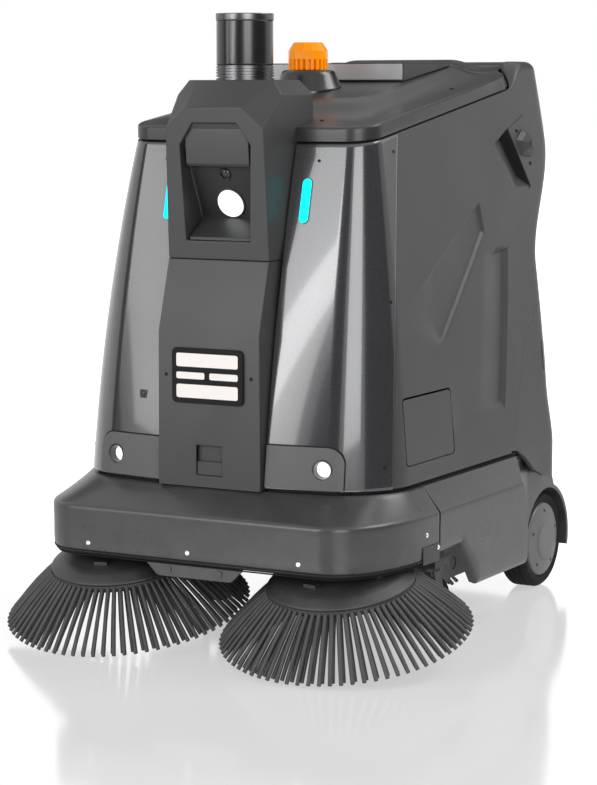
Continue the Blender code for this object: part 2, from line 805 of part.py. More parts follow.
def build_console(satin, screen_black, red):
    """Wedge console on the lid with its touch screen in a pocket, and the stop button behind the hoop."""
    back = CONSOLE_FRONT_Y + CONSOLE_DEPTH
    side = [(CONSOLE_FRONT_Y, lid_top(CONSOLE_FRONT_Y) + GAP), (back, lid_top(back) + GAP)]
    side += [(back, CONSOLE_TOP_Z), (CONSOLE_FRONT_Y, CONSOLE_TOP_Z)]
    console = add("console_housing", prism(side, "X", -CONSOLE_HALF, CONSOLE_HALF), satin)
    low = np.array([-SCREEN_HALF, CONSOLE_FRONT_Y + SCREEN_EDGE, CONSOLE_TOP_Z - GAP - SCREEN_THICK])
    high = np.array([SCREEN_HALF, CONSOLE_FRONT_Y + SCREEN_EDGE + SCREEN_DEPTH, CONSOLE_TOP_Z - GAP])
    change(console, "DIFFERENCE", [box(low - GAP, high + (GAP, GAP, SINK))])
    add("touch_screen", box(low, high), screen_black)
    head = STOP_TRAVEL + 0.001
    knob = [(STOP_STEM_R, -STOP_STEM_L), (STOP_STEM_R, head), (STOP_R, head)]
    knob += [(STOP_R, head + 0.6 * STOP_KNOB_H), (STOP_R * 0.6, head + STOP_KNOB_H)]
    add("stop_button", turned(knob, "Y"), red, (STOP_X, CROWN_Y, STOP_Z), round_shape=True)


def build_beacon(black, amber):
    """Amber beacon on a cone that stands on the sloping lid."""
    angle = np.linspace(0.0, 2.0 * np.pi, ROUND, endpoint=False)
    seat = lid_top(BEACON_Y) + BEACON_BASE_H
    sizes = [(BEACON_BASE_R, 0.0), (BEACON_BASE_R * 0.93, 0.15)]
    sizes += [(BEACON_R * 1.12, 0.9), (BEACON_R * 1.05, 1.0)]
    loops = []
    for radius, share in sizes:
        loop = on_axis(radius, angle, 0.0, "Z") + (0.0, BEACON_Y, 0.0)
        loop[:, 2] = mix(lid_top(loop[:, 1]) + GAP, seat, share)
        loops.append(loop)
    add("beacon_base", loops_solid(loops), black, round_shape=True)
    dome = [(BEACON_R, 0.0), (BEACON_R, BEACON_H * 0.72), (BEACON_R * 0.72, BEACON_H)]
    add("beacon_lens", turned(dome), amber, (0.0, BEACON_Y, seat + GAP), round_shape=True)


def build_spine(grey, frame_black, bar_white):
    """Spine cover as a channel, with the status light on its face."""
    levels = [TRIM_TOP + GAP, SPINE_BREAK_Z, SPINE_TOP_Z]
    outer = []
    inner = []
    for z in levels:
        half = mix(SPINE_HALF, SPINE_TOP_HALF, (z - TRIM_TOP) / (SPINE_TOP_Z - TRIM_TOP))
        front = spine_front(z)
        inset = half - WALL
        for wanted, x, y in ((outer, half, front), (inner, inset, front + WALL)):
            wanted.append([(x, SPINE_BACK_Y, z), (x, y, z), (-x, y, z), (-x, SPINE_BACK_Y, z)])
    add("spine_cover", thick_patch(outer, inner), grey)

    face = SPINE_FRONT_Y - GAP
    back = face - STATUS_BACK
    low, high = STATUS_BOTTOM_Z, STATUS_TOP_Z
    diffuser = add("status_diffuser", box((-STATUS_HALF, back, low), (STATUS_HALF, face, high)), bar_white)
    frame_back = back - GAP
    frame_front = frame_back - STATUS_THICK
    border = box((-STATUS_HALF, frame_front, low), (STATUS_HALF, frame_back, high))
    frame = add("status_frame", border, frame_black)
    inside = STATUS_HALF - STATUS_BORDER
    third = (high - low - 4.0 * STATUS_BORDER) / 5.0
    rows = [(low + STATUS_BORDER, 2.0 * third, [(-inside, inside)])]
    rows.append((low + 2.0 * STATUS_BORDER + 2.0 * third, third, [(-inside, -0.005), (0.005, inside)]))
    rows.append((high - STATUS_BORDER - 2.0 * third, 2.0 * third, [(-inside, inside)]))
    windows = []
    bars = []
    for z, height, spans in rows:
        for x0, x1 in spans:
            top = z + height
            windows.append(box((x0, frame_front - SINK, z), (x1, frame_back + SINK, top)))
            bars.append(box((x0 + GAP, frame_front + GAP, z + GAP), (x1 - GAP, face - 0.0005, top - GAP)))
    change(frame, "DIFFERENCE", windows)
    change(diffuser, "UNION", bars)


def build_head(grey, black, lamp_white):
    """Angular sensor head with a slanted recess that holds a lens and a lamp."""
    bottom = SPINE_TOP_Z + GAP
    waist = WINDOW_BOTTOM_Z

    def front(z):
        return mix(SPINE_TOP_Y, HEAD_PEAK_Y, (z - bottom) / (HEAD_PEAK_Z - bottom))

    corner = HEAD_PEAK_CORNER * (HEAD_BROW_Z - HEAD_PEAK_Z) / (HEAD_BROW_HALF - HEAD_PEAK_HALF)
    face = [(SPINE_TOP_HALF, bottom), (SPINE_TOP_HALF, waist), (HEAD_BROW_HALF, HEAD_BROW_Z)]
    face += [(HEAD_PEAK_HALF + HEAD_PEAK_CORNER, HEAD_PEAK_Z + corner), (HEAD_PEAK_HALF, HEAD_PEAK_Z)]
    middle = [(SPINE_TOP_HALF, HEAD_TOP_Y, bottom), (HEAD_HALF, HEAD_TOP_Y, waist)]
    middle.append((HEAD_HALF, HEAD_SHOULDER_Y, HEAD_SHOULDER_Z))
    middle += [(HEAD_TOP_HALF, HEAD_TOP_Y, HEAD_TOP_Z), (HEAD_FLAT_HALF, HEAD_FLAT_Y, HEAD_TOP_Z)]
    rear = [(SPINE_TOP_HALF, bottom), (HEAD_HALF, waist), (HEAD_HALF, HEAD_SHOULDER_Z)]
    rear += [(HEAD_REAR_TOP_HALF, HEAD_TOP_Z), (HEAD_REAR_FLAT_HALF, HEAD_TOP_Z)]
    sections = [[(x, front(z), z) for x, z in face], middle, [(x, HEAD_REAR_Y, z) for x, z in rear]]
    head = add("sensor_head", mirrored_loft(sections), grey)

    def back(z):
        return WINDOW_TOP_Y + WINDOW_SLANT * (WINDOW_TOP_Z - z)

    right = [(WINDOW_BOTTOM_HALF, WINDOW_BOTTOM_Z), (WINDOW_BROW_HALF, WINDOW_BROW_Z)]
    right.append((WINDOW_TOP_HALF, WINDOW_TOP_Z))
    window = right + [(-x, z) for x, z in right[::-1]]
    loops = [[(x, HEAD_PEAK_Y - 0.02, z) for x, z in window], [(x, back(z), z) for x, z in window]]
    change(head, "DIFFERENCE", [loops_solid(loops)])

    tilt = math.atan(WINDOW_SLANT)
    for name, radius, z, depth, surface in (("camera_lens", LENS_R, LENS_Z, 0.005, black),
                                            ("head_lamp", LAMP_R, LAMP_Z, 0.004, lamp_white)):
        disc = turned([(radius, GAP), (radius, depth), (radius * 0.8, depth + 0.001)])
        piece = add(name, disc, surface, (0.0, back(z), z), round_shape=True)
        piece.rotation_euler = (math.pi / 2.0 + tilt, 0.0, 0.0)


def build_ranger(silver, window_black):
    """Round ranging sensor: base, window and cap on the head."""
    base = HEAD_TOP_Z + GAP
    window = base + RANGER_BASE_H + GAP
    cap = window + RANGER_WINDOW_H + GAP
    groove = RANGER_R - 0.002
    base_profile = [(RANGER_R, 0.0)]
    for step in range(2):
        low = RANGER_BASE_H * (0.25 + 0.35 * step)
        base_profile += [(RANGER_R, low), (groove, low + 0.001)]
        base_profile += [(groove, low + 0.003), (RANGER_R, low + 0.004)]
    base_profile.append((RANGER_R, RANGER_BASE_H))
    cap_profile = [(RANGER_R, 0.0), (RANGER_R, RANGER_CAP_H - 0.002), (RANGER_R - 0.002, RANGER_CAP_H)]
    place = (0.0, RANGER_Y, 0.0)
    add("ranger_base", moved(turned(base_profile), (0.0, 0.0, base)), silver, place, round_shape=True)
    glass = rod(RANGER_R - 0.001, window, window + RANGER_WINDOW_H)
    add("ranger_window", glass, window_black, place, round_shape=True)
    add("ranger_cap", moved(turned(cap_profile), (0.0, 0.0, cap)), silver, place, round_shape=True)


def build_front_lights(grey, lens_white, cyan):
    """Corner plates and light bars that lie on the front shells, and headlights set into them."""
    front = shell_grids()[0]
    plate = along_grid(front, PLATE_COLUMNS, (FOOT_Z + 0.001, front[0][1, 0, 2], PLATE_TOP_Z))
    bar_low, bar_high = at_x(lambda z: BAR_X - BAR_HALF), at_x(lambda z: BAR_X + BAR_HALF)
    bar = wall_grid(bar_low, bar_high, lambda y: BAR_TOP_Z, even(4), even(3), BAR_BOTTOM_Z)
    spot, normal = headlight_spot()
    lens = facing_rod(spot, normal, HEADLIGHT_R, -HEADLIGHT_DEPTH, -HEADLIGHT_RECESS)
    hole = facing_rod(spot, normal, HEADLIGHT_R + GAP, -0.03, 0.03)
    for side, word in ((-1, "left"), (1, "right")):
        for name, (points, out), depth, surface in (("corner_plate", plate, PLATE_THICK, grey),
                                                    ("light_bar", bar, BAR_THICK, cyan)):
            sheet = thick_patch(points + (GAP + depth) * out, points + GAP * out)
            piece = add(word + "_" + name, sided(sheet, side), surface, round_shape=True)
            if name == "corner_plate":
                change(piece, "DIFFERENCE", [sided(hole, side)])
        add(word + "_headlight", sided(lens, side), lens_white, round_shape=True)


def trim_line(share):
    """Point and normal on the crease of the bumper, from its middle to its seam."""
    turn = np.linspace(0.0, np.pi / 2.0, 17)
    across = np.clip(np.sin(turn), 0.0, 1.0) ** TRIM_SQUARE
    back = 1.0 - np.clip(np.cos(turn), 0.0, 1.0) ** TRIM_SQUARE
    x = np.concatenate([[0.0], TRIM_HALF - TRIM_CORNER_X + TRIM_CORNER_X * across])
    y = np.concatenate([[TRIM_FRONT_Y], TRIM_FRONT_Y + TRIM_CORNER_Y * back])
    line = np.stack([x, y], axis=1)
    s = distances(line)

    def at(q):
        return np.array([np.interp(q, s, x), np.interp(q, s, y)])

    along = at(min(share * s[-1] + 0.004, s[-1])) - at(max(share * s[-1] - 0.004, 0.0))
    along /= np.linalg.norm(along)
    return at(share * s[-1]), np.array([along[1], -along[0]])


def trim_rows(crease, normal, top, top_normal, bottom):
    """Outer and inner points of the trim's section at one place along it."""
    rows = [(crease, normal, 0.010, bottom), (crease, normal, 0.001, bottom + 0.012)]
    rows += [(crease, normal, 0.0, CREASE_Z - 0.006), (crease, normal, 0.003, CREASE_Z)]
    outer = [(*(p - inset * n), z) for p, n, inset, z in rows]
    inner = [(*(p - (inset + TRIM_WALL) * n), min(z, CREASE_Z - TRIM_WALL)) for p, n, inset, z in rows]
    for inset in (0.0, FLANGE):
        edge = top - inset * top_normal
        outer.append((*edge, TRIM_TOP))
        inner.append((*(edge - (TRIM_WALL if inset == 0.0 else 0.0) * top_normal), TRIM_TOP - TRIM_WALL))
    return outer, inner


def build_trim(grey):
    """Front bumper, nose plate and the two side skirts."""
    seam = at_y(lambda z: SKIRT_SEAM_Y)
    outer = []
    inner = []
    for share in even(13):
        crease, normal = trim_line(share)
        foot, foot_normal = wall_point(FOOT_Z, share, at_x(lambda z: 0.0), seam)
        a, b = trim_rows(crease, normal, foot + TRIM_REVEAL * foot_normal, foot_normal, BUMPER_BOTTOM)
        outer.append(a)
        inner.append(b)
    half = [np.array(g).transpose(1, 0, 2) for g in (outer, inner)]
    whole = [np.concatenate([g[:, :0:-1] * (-1.0, 1.0, 1.0), g], axis=1) for g in half]
    add("front_bumper", thick_patch(*whole), grey, round_shape=True)

    plate_y = TRIM_FRONT_Y + 0.010
    plate_top = BUMPER_BOTTOM - GAP
    plate = [(-NOSE_HALF, plate_top), (NOSE_HALF, plate_top)]
    narrow = NOSE_HALF - NOSE_DROP
    plate += [(narrow, plate_top - NOSE_DROP), (-narrow, plate_top - NOSE_DROP)]
    add("nose_plate", prism(plate, "Y", plate_y, plate_y + TRIM_WALL), grey)

    outer = []
    inner = []
    out = np.array([1.0, 0.0])
    top_half = FOOT_HALF + TRIM_REVEAL
    heights = (SKIRT_STRAIGHT_Z, CREASE_Z, TRIM_TOP)
    for share in (0.0, 0.12, SKIRT_CUT_SHARE, SKIRT_FOOT_SHARE, 0.6, 0.8, 1.0):
        drop = np.clip((share - SKIRT_CUT_SHARE) / (SKIRT_FOOT_SHARE - SKIRT_CUT_SHARE), 0.0, 1.0)
        bottom = mix(SKIRT_CUT_Z, SKIRT_FOOT_Z, drop)
        place = np.array([TRIM_HALF, 0.0])
        a, b = trim_rows(place, out, np.array([top_half, 0.0]), out, bottom)
        for rows, wanted in ((a, outer), (b, inner)):
            column = np.array(rows)
            rear = np.interp(column[:, 2], heights, (SKIRT_REAR_Y, SKIRT_CREASE_Y, SKIRT_TOP_Y))
            column[:, 1] = mix(SKIRT_SEAM_Y + SEAM, rear, share)
            wanted.append(column)
    skirt = thick_patch(*[np.array(g).transpose(1, 0, 2) for g in (outer, inner)])
    for side, word in ((-1, "left"), (1, "right")):
        add(word + "_side_skirt", sided(skirt, side), grey, round_shape=True)


def build_hatch(grey, inside_black):
    """Hatch in the right panel, hung at its rear edge, and the tray behind it."""
    front = at_y(lambda z: HATCH_FRONT_Y)
    rear = at_y(lambda z: HATCH_REAR_Y)
    points, normals = wall_grid(front, rear, lambda y: HATCH_TOP_Z, even(4), even(5), HATCH_BOTTOM_Z)
    hinge = Vector((panel_x(HATCH_BOTTOM_Z), HATCH_REAR_Y, HATCH_BOTTOM_Z))
    leaf = moved(thick_patch(points, points - HATCH_THICK * normals), -np.array(hinge))
    add("side_hatch", leaf, grey, hinge)

    corner = at_y(lambda z: HATCH_FRONT_Y - TRAY_WALL)
    room = wall_point(HATCH_TOP_Z + TRAY_WALL, 0.0, corner, at_rear)[0][0] - WALL - TRAY_CLEAR
    low = np.array([room - TRAY_DEPTH, HATCH_FRONT_Y, HATCH_BOTTOM_Z])
    high = np.array([room, HATCH_REAR_Y, HATCH_TOP_Z])
    tray = add("hatch_tray", box(low - TRAY_WALL, high + (0.0, TRAY_WALL, TRAY_WALL)), inside_black)
    change(tray, "DIFFERENCE", [box(low, high + (0.02, 0.0, 0.0))])


def build_pods(dark):
    """Angular side cameras on the upper rear of the body."""
    back = [(POD_Y - POD_SIZE, POD_Z - POD_SIZE), (POD_Y + POD_SIZE, POD_Z - 0.4 * POD_SIZE)]
    back += [(POD_Y + 0.7 * POD_SIZE, POD_Z + POD_SIZE), (POD_Y - 0.5 * POD_SIZE, POD_Z + 0.8 * POD_SIZE)]
    back = np.array(back)
    tip = mix(back, np.array([POD_Y + 0.3 * POD_SIZE, POD_Z + 0.2 * POD_SIZE]), 0.55)
    spots = [wall_point(z, 0.0, at_y(lambda h, y=y: y), at_rear)[0][0] + GAP + 0.0005 for y, z in back]
    x = max(spots) + POD_OUT
    loops = [[(s, y, z) for s, (y, z) in zip(spots, back)], [(x, y, z) for y, z in tip]]
    for side, word in ((-1, "left"), (1, "right")):
        add(word + "_side_camera", sided(loops_solid(loops), side), dark)


def build_wheels(rubber, cap_grey, grey):
    """Drive wheels with their hubs, and the fenders over them."""
    bead = HUB_R + GAP
    tread = [(bead, WHEEL_IN_X + 0.004), (WHEEL_R - 0.006, WHEEL_IN_X), (WHEEL_R, WHEEL_IN_X + 0.008)]
    tread += [(WHEEL_R, WHEEL_OUT_X - 0.008), (WHEEL_R - 0.006, WHEEL_OUT_X), (bead, WHEEL_OUT_X - 0.004)]
    cap = WHEEL_OUT_X + CAP_OUT
    hub = [(AXLE_R, BRACKET_IN_X + 0.002), (AXLE_R, WHEEL_IN_X - 0.002), (0.03, WHEEL_IN_X)]
    hub += [(HUB_R, WHEEL_IN_X + 0.006), (HUB_R, WHEEL_OUT_X - 0.004), (HUB_R - 0.004, WHEEL_OUT_X)]
    hub += [(0.040, cap - 0.001), (0.036, cap)]
    turn = np.radians((-14, 0, 12, 24, 36, 48, 60, 72))
    outer = np.stack([WHEEL_Y + FENDER_R * np.cos(turn), WHEEL_R + FENDER_R * np.sin(turn)], axis=1)
    top = DECK_BOTTOM - GAP
    web = [(WHEEL_Y - FENDER_WALL, top), (FENDER_FRONT_Y - 0.015, top), (FENDER_FRONT_Y, WHEEL_R + 0.06)]
    turn = np.linspace(math.radians(158), math.radians(-14), 15)
    inner = np.stack([WHEEL_Y + ARCH_R * np.cos(turn), WHEEL_R + ARCH_R * np.sin(turn)], axis=1)
    fender = prism(np.concatenate([outer, web, inner]), "X", FENDER_IN_X, FENDER_OUT_X)
    cheek_rear = WHEEL_Y - ARCH_R - SINK
    cheek_front = SKIRT_TOP_Y + SEAM
    cheek = [(FENDER_OUT_X - SINK, FENDER_FRONT_Y + SINK), (CHEEK_OUT_X - 0.012, cheek_front)]
    cheek += [(CHEEK_OUT_X, cheek_front), (FENDER_OUT_X + SINK, cheek_rear)]
    cheek.append((FENDER_OUT_X - SINK, cheek_rear))
    cheek = prism(cheek, "Z", CHEEK_BOTTOM_Z, top)
    for side, word in ((-1, "left"), (1, "right")):
        place = (0.0, WHEEL_Y, WHEEL_R)
        tyre = sided(turned(tread, "X", True, WHEEL_ROUND), side)
        add(word + "_tyre", tyre, rubber, place, round_shape=True)
        disc = sided(turned(hub, "X", segments=WHEEL_ROUND), side)
        add(word + "_wheel_hub", disc, cap_grey, place, round_shape=True)
        piece = add(word + "_fender", sided(fender, side), grey, round_shape=True)
        change(piece, "UNION", [sided(cheek, side)])


def build_casters(steel, rubber):
    """Swivel casters: a fork with its king pin and axle, and a wheel."""
    plate_low = CASTER_TOP_Z - CASTER_PLATE_H
    arm_in = CASTER_W / 2.0 + SEAM
    axle_r = 0.005
    for side, word in ((-1, "left"), (1, "right")):
        place = (side * CASTER_X, CASTER_Y, 0.0)
        plate = [(CASTER_PLATE_R, plate_low), (CASTER_PLATE_R, CASTER_TOP_Z), (PIN_R, CASTER_TOP_Z)]
        plate.append((PIN_R, CASTER_TOP_Z + 0.025))
        fork = add(word + "_caster_fork", turned(plate), steel, place)
        arm = [(-0.016, plate_low + SINK), (CASTER_TRAIL - 0.009, CASTER_R - 0.009)]
        arm += [(CASTER_TRAIL + 0.009, CASTER_R - 0.009), (0.016, plate_low + SINK)]
        lumps = [prism(arm, "X", arm_in, arm_in + FORK_ARM), prism(arm, "X", -arm_in - FORK_ARM, -arm_in)]
        change(fork, "UNION", lumps)
        axle = rod(axle_r, -arm_in - 0.001, arm_in + 0.001, "X", 16)
        change(fork, "UNION", [moved(axle, (0.0, CASTER_TRAIL, CASTER_R))])
        half = CASTER_W / 2.0
        tread = [(axle_r + RUN, -half), (CASTER_R - 0.004, -half), (CASTER_R, -half + 0.005)]
        tread += [(CASTER_R, half - 0.005), (CASTER_R - 0.004, half), (axle_r + RUN, half)]
        wheel = turned(tread, "X", True)
        centre = (place[0], CASTER_Y + CASTER_TRAIL, CASTER_R)
        add(word + "_caster_wheel", wheel, rubber, centre, round_shape=True)


def bristle_ring():
    """Ring of bristles: two staggered rows of strands that grow out of a turned backing."""
    columns = 2 * STRANDS_PER_ROW
    angle = np.linspace(0.0, 2.0 * np.pi, columns, endpoint=False)
    profile = [(RING_BORE, RING_TOP), (ROOT_R, RING_TOP), (ROOT_R - 0.001, RING_BOTTOM + 0.007)]
    profile += [(ROOT_R - 0.006, RING_BOTTOM), (RING_BORE, RING_BOTTOM)]
    points = [tuple(p) for r, h in profile for p in on_axis(r, angle, h, "Z")]
    faces = []
    tips = {1: (TIP_R, 0.0), 2: (TIP_R - INNER_TIP_SHORT, -0.002)}
    for i in range(len(profile)):
        k = (i + 1) % len(profile)
        for j in range(columns):
            n = (j + 1) % columns
            quad = (i * columns + j, i * columns + n, k * columns + n, k * columns + j)
            if i not in tips or j % 2 != i % 2:
                faces.append(quad)
                continue
            radius, height = tips[i]
            root = np.array(profile[i]) + np.array(profile[k])
            along = np.array([radius, height]) - root / 2.0
            along /= np.linalg.norm(along)
            across = np.array([-along[1], along[0]]) * STRAND_HALF
            centre = (angle[j] + np.pi / columns)
            sweep = STRAND_HALF / radius
            ends = [(across, -sweep), (across, sweep), (-across, sweep), (-across, -sweep)]
            first = len(points)
            for offset, turn in ends:
                spot = on_axis(radius + offset[0], np.array(centre + turn), height + offset[1], "Z")
                points.append(tuple(spot))
            tip = tuple(range(first, first + 4))
            for a in range(4):
                b = (a + 1) % 4
                faces.append((quad[a], quad[b], tip[b], tip[a]))
            faces.append(tip)
    return np.array(points), faces


def build_side_brushes(steel, bristle, hub_black):
    """Side brushes on arms that lift: arm with its gear motor, hub and bristles on a tilted axis."""
    ring = bristle_ring()
    hub = [(RING_BORE - GAP, RING_BOTTOM + 0.004), (RING_BORE - GAP, HUB_BOTTOM), (ROOT_R, HUB_BOTTOM)]
    hub += [(ROOT_R, HUB_BOTTOM + 0.004), (MOTOR_R, HUB_TOP)]
    motor = [(MOTOR_R - 0.003, MOTOR_BOTTOM), (MOTOR_R, MOTOR_BOTTOM + 0.003), (MOTOR_R, ARM_BOTTOM + SINK)]
    dy = PIVOT_Y - BRUSH_Y
    dz = PIVOT_Z - BRUSH_Z
    pivot_y = dy * math.cos(BRUSH_TILT) + dz * math.sin(BRUSH_TILT)
    pivot_z = dz * math.cos(BRUSH_TILT) - dy * math.sin(BRUSH_TILT)
    arm_top = ARM_BOTTOM + ARM_THICK
    arm = [(-MOTOR_R, ARM_BOTTOM), (MOTOR_R + 0.01, ARM_BOTTOM), (pivot_y - 0.006, pivot_z - 0.006)]
    arm += [(pivot_y + 0.004, pivot_z + 0.004), (MOTOR_R + 0.05, arm_top), (-MOTOR_R, arm_top)]
    barrel_half = LUG_GAP_HALF - GAP
    pin_half = LUG_GAP_HALF + LUG_W - 0.001
    barrel = [(PIN_R, -pin_half), (PIN_R, -barrel_half), (BARREL_R, -barrel_half), (BARREL_R, barrel_half)]
    barrel += [(PIN_R, barrel_half), (PIN_R, pin_half)]
    for side, word in ((-1, "left"), (1, "right")):
        place = (side * BRUSH_X, PIVOT_Y, PIVOT_Z)
        arm_pivot = empty(word + "_brush_pivot", place)
        centre = (0.0, BRUSH_Y - PIVOT_Y, BRUSH_Z - PIVOT_Z)
        axis = empty(word + "_brush_axis", centre, BRUSH_TILT, arm_pivot)
        carrier = add(word + "_brush_arm", prism(arm, "X", -ARM_HALF, ARM_HALF), steel, parent=axis)
        change(carrier, "UNION", [moved(turned(barrel, "X"), (0.0, pivot_y, pivot_z))])
        change(carrier, "UNION", [turned(motor)])
        add(word + "_brush_hub", turned(hub, segments=28), hub_black, parent=axis, round_shape=True)
        add(word + "_bristles", ring, bristle, parent=axis)


def build_roller(bristle, grey, black):
    """Roller brush with ridges, in a chamber that opens down and to the rear, with its motor."""
    angle = np.linspace(0.0, 2.0 * np.pi, 4 * ROLLER_LOBES, endpoint=False)
    shaft_end = CHAMBER_HALF + CHAMBER_END - 0.001
    radius = ROLLER_R - ROLLER_RIDGE * (0.5 - 0.5 * np.cos(ROLLER_LOBES * angle))
    loops = [on_axis(SHAFT_R, angle + ROLLER_TWIST, h, "X") for h in (-shaft_end, -ROLLER_HALF)]
    for h in np.linspace(-ROLLER_HALF, ROLLER_HALF, 7):
        loops.append(on_axis(radius, angle + ROLLER_TWIST * abs(h) / ROLLER_HALF, h, "X"))
    loops += [on_axis(SHAFT_R, angle + ROLLER_TWIST, h, "X") for h in (ROLLER_HALF, shaft_end)]
    place = (0.0, ROLLER_Y, ROLLER_Z)
    add("roller_brush", loops_solid(loops), bristle, place)

    reach = CHAMBER_R + CHAMBER_WALL
    end = CHAMBER_HALF + CHAMBER_END
    low = (-end, ROLLER_Y - reach, CHAMBER_BOTTOM)
    chamber = add("brush_chamber", box(low, (end, ROLLER_Y + reach, DECK_BOTTOM - GAP)), grey)
    drum = moved(rod(CHAMBER_R, -CHAMBER_HALF, CHAMBER_HALF, "X", 28), place)
    change(chamber, "DIFFERENCE", [drum])
    window = box((-THROAT_HALF, ROLLER_Y, HOPPER_SILL),
                 (THROAT_HALF, ROLLER_Y + reach + SINK, HOPPER_SILL + THROAT_H))
    change(chamber, "DIFFERENCE", [window])
    mouth = box((-CHAMBER_HALF, ROLLER_Y - reach - SINK, CHAMBER_BOTTOM - SINK),
                (CHAMBER_HALF, ROLLER_Y, CHAMBER_LIP_Z))
    change(chamber, "DIFFERENCE", [mouth])
    change(chamber, "DIFFERENCE", [moved(rod(SHAFT_R + RUN, -end - SINK, end + SINK, "X"), place)])
    drive = [(DRIVE_R, -end - GAP), (DRIVE_R, -end - DRIVE_L + 0.006), (DRIVE_R - 0.006, -end - DRIVE_L)]
    add("roller_motor", turned(drive, "X"), black, place, round_shape=True)


def build_hopper(grey):
    """Hopper that slides out to the rear on its lips, with a low front wall and a pull handle."""
    wall = HOPPER_WALL
    body = box((-HOPPER_HALF, HOPPER_FRONT_Y, HOPPER_BOTTOM), (HOPPER_HALF, HOPPER_REAR_Y, HOPPER_TOP))
    hopper = add("hopper", body, grey)
    wide = HOPPER_HALF + HOPPER_LIP
    lips = box((-wide, HOPPER_FRONT_Y + 0.012, HOPPER_TOP - HOPPER_LIP_H),
               (wide, HOPPER_REAR_Y - 0.001, HOPPER_TOP + 0.0005))
    face = box((-HOPPER_FACE_HALF, HOPPER_REAR_Y - 0.0015, HOPPER_BOTTOM + 0.005),
               (HOPPER_FACE_HALF, HOPPER_REAR_Y + HOPPER_FACE, RAIL_TOP - RAIL_H - SEAM))
    grip_root = HOPPER_REAR_Y + HOPPER_FACE - SINK
    grip_in = HANDLE_HALF - HANDLE_BAR
    grip = [(HANDLE_HALF, grip_root), (HANDLE_HALF, REACH), (-HANDLE_HALF, REACH), (-HANDLE_HALF, grip_root)]
    grip += [(-grip_in, grip_root), (-grip_in, REACH - HANDLE_BAR)]
    grip += [(grip_in, REACH - HANDLE_BAR), (grip_in, grip_root)]
    change(hopper, "UNION", [lips])
    change(hopper, "UNION", [face])
    change(hopper, "UNION", [prism(grip, "Z", HANDLE_Z, HANDLE_Z + HANDLE_H)])
    inside = box((-HOPPER_HALF + wall, HOPPER_FRONT_Y + wall, HOPPER_BOTTOM + wall),
                 (HOPPER_HALF - wall, HOPPER_REAR_Y - wall, HOPPER_TOP + 0.02))
    mouth = box((-THROAT_HALF, HOPPER_FRONT_Y - SINK, HOPPER_SILL),
                (THROAT_HALF, HOPPER_FRONT_Y + 2.0 * wall, HOPPER_TOP + 0.01))
    change(hopper, "DIFFERENCE", [inside])
    change(hopper, "DIFFERENCE", [mouth])


def build_inside(black, grey, metal):
    """Battery pack, control box, blower housing and fan on the deck."""
    floor = DECK_TOP + GAP
    front = BATTERY_FRONT_Y
    pack = box((-BATTERY_HALF, front, floor), (BATTERY_HALF, front + BATTERY_DEPTH, floor + BATTERY_H))
    add("battery_pack", pack, black)
    low = floor + BATTERY_H + GAP
    case = box((-BOX_HALF, front, low), (BOX_HALF, front + BOX_DEPTH, low + BOX_H))
    add("control_box", case, grey)
    place = (0.0, BLOWER_Y, floor)
    inner = BLOWER_R - BLOWER_WALL
    shaft = 0.008
    roof = BLOWER_H - BLOWER_WALL
    eye = shaft + RUN
    shell = [(inner, 0.0), (BLOWER_R, 0.0), (BLOWER_R, BLOWER_H), (eye, BLOWER_H), (eye, roof), (inner, roof)]
    add("blower_housing", turned(shell, bored=True), grey, place, round_shape=True)
    base = 0.010
    hub = [(0.02, base), (0.02, base + FAN_H), (shaft, base + FAN_H), (shaft, BLOWER_H + 0.006)]
    fan = add("fan_impeller", turned(hub), metal, place)
    disc = [(FAN_R, base - 0.004), (FAN_R, base + 0.002)]
    change(fan, "UNION", [turned(disc)])
    blades = []
    for turn in np.linspace(0.0, 2.0 * np.pi, FAN_BLADES, endpoint=False):
        c, s = math.cos(turn), math.sin(turn)
        tip = FAN_R - 0.004
        plan = np.array([(0.018, -0.0015), (tip, 0.0145), (tip, 0.0175), (0.018, 0.0015)])
        plan = plan @ np.array([[c, s], [-s, c]])
        blades.append(prism(plan, "Z", base + 0.001, base + FAN_H - 0.012))
    change(fan, "UNION", blades)


def build_all():
    """Clear the scene and make every piece."""
    for old in list(bpy.data.objects):
        bpy.data.objects.remove(old, do_unlink=True)
    graphite = material("graphite gloss", (0.060, 0.062, 0.066), 0.22)
    satin = material("graphite satin", (0.085, 0.087, 0.090), 0.35)
    grey = material("moulded grey", (0.100, 0.100, 0.101), 0.55)
    dark = material("dark plastic", (0.030, 0.030, 0.032), 0.50)
    black = material("black plastic", (0.015, 0.015, 0.016), 0.35)
    rubber = material("rubber", (0.013, 0.013, 0.013), 0.75)
    bristle = material("bristle", (0.040, 0.040, 0.041), 0.60)
    cap_grey = material("hub cap grey", (0.110, 0.110, 0.110), 0.50)
    steel = material("painted steel", (0.050, 0.050, 0.052), 0.45, 0.6)
    silver = material("silver", (0.420, 0.430, 0.440), 0.28, 1.0)
    white = material("white light", (0.900, 0.920, 0.950), 0.30, glow=1.0)
    bars = material("status white", (0.850, 0.820, 0.800), 0.50)
    cyan = material("cyan light", (0.0, 0.900, 0.950), 0.30, glow=1.0)
    amber = material("amber", (1.0, 0.350, 0.010), 0.35)
    red = material("stop red", (0.600, 0.010, 0.010), 0.40)
    build_deck(steel)
    build_shells(graphite, grey, black)
    build_lid(satin)
    build_console(satin, black, red)
    build_beacon(black, amber)
    build_spine(grey, dark, bars)
    build_head(grey, black, white)
    build_ranger(silver, black)
    build_front_lights(grey, white, cyan)
    build_trim(grey)
    build_hatch(grey, dark)
    build_pods(dark)
    build_wheels(rubber, cap_grey, grey)
    build_casters(steel, rubber)
    build_side_brushes(steel, bristle, dark)
    build_roller(bristle, grey, black)
    build_hopper(dark)
    build_inside(black, grey, dark)


build_all()
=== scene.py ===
"""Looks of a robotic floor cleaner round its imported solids, in metres, +Z up, the front towards -Y."""

import math

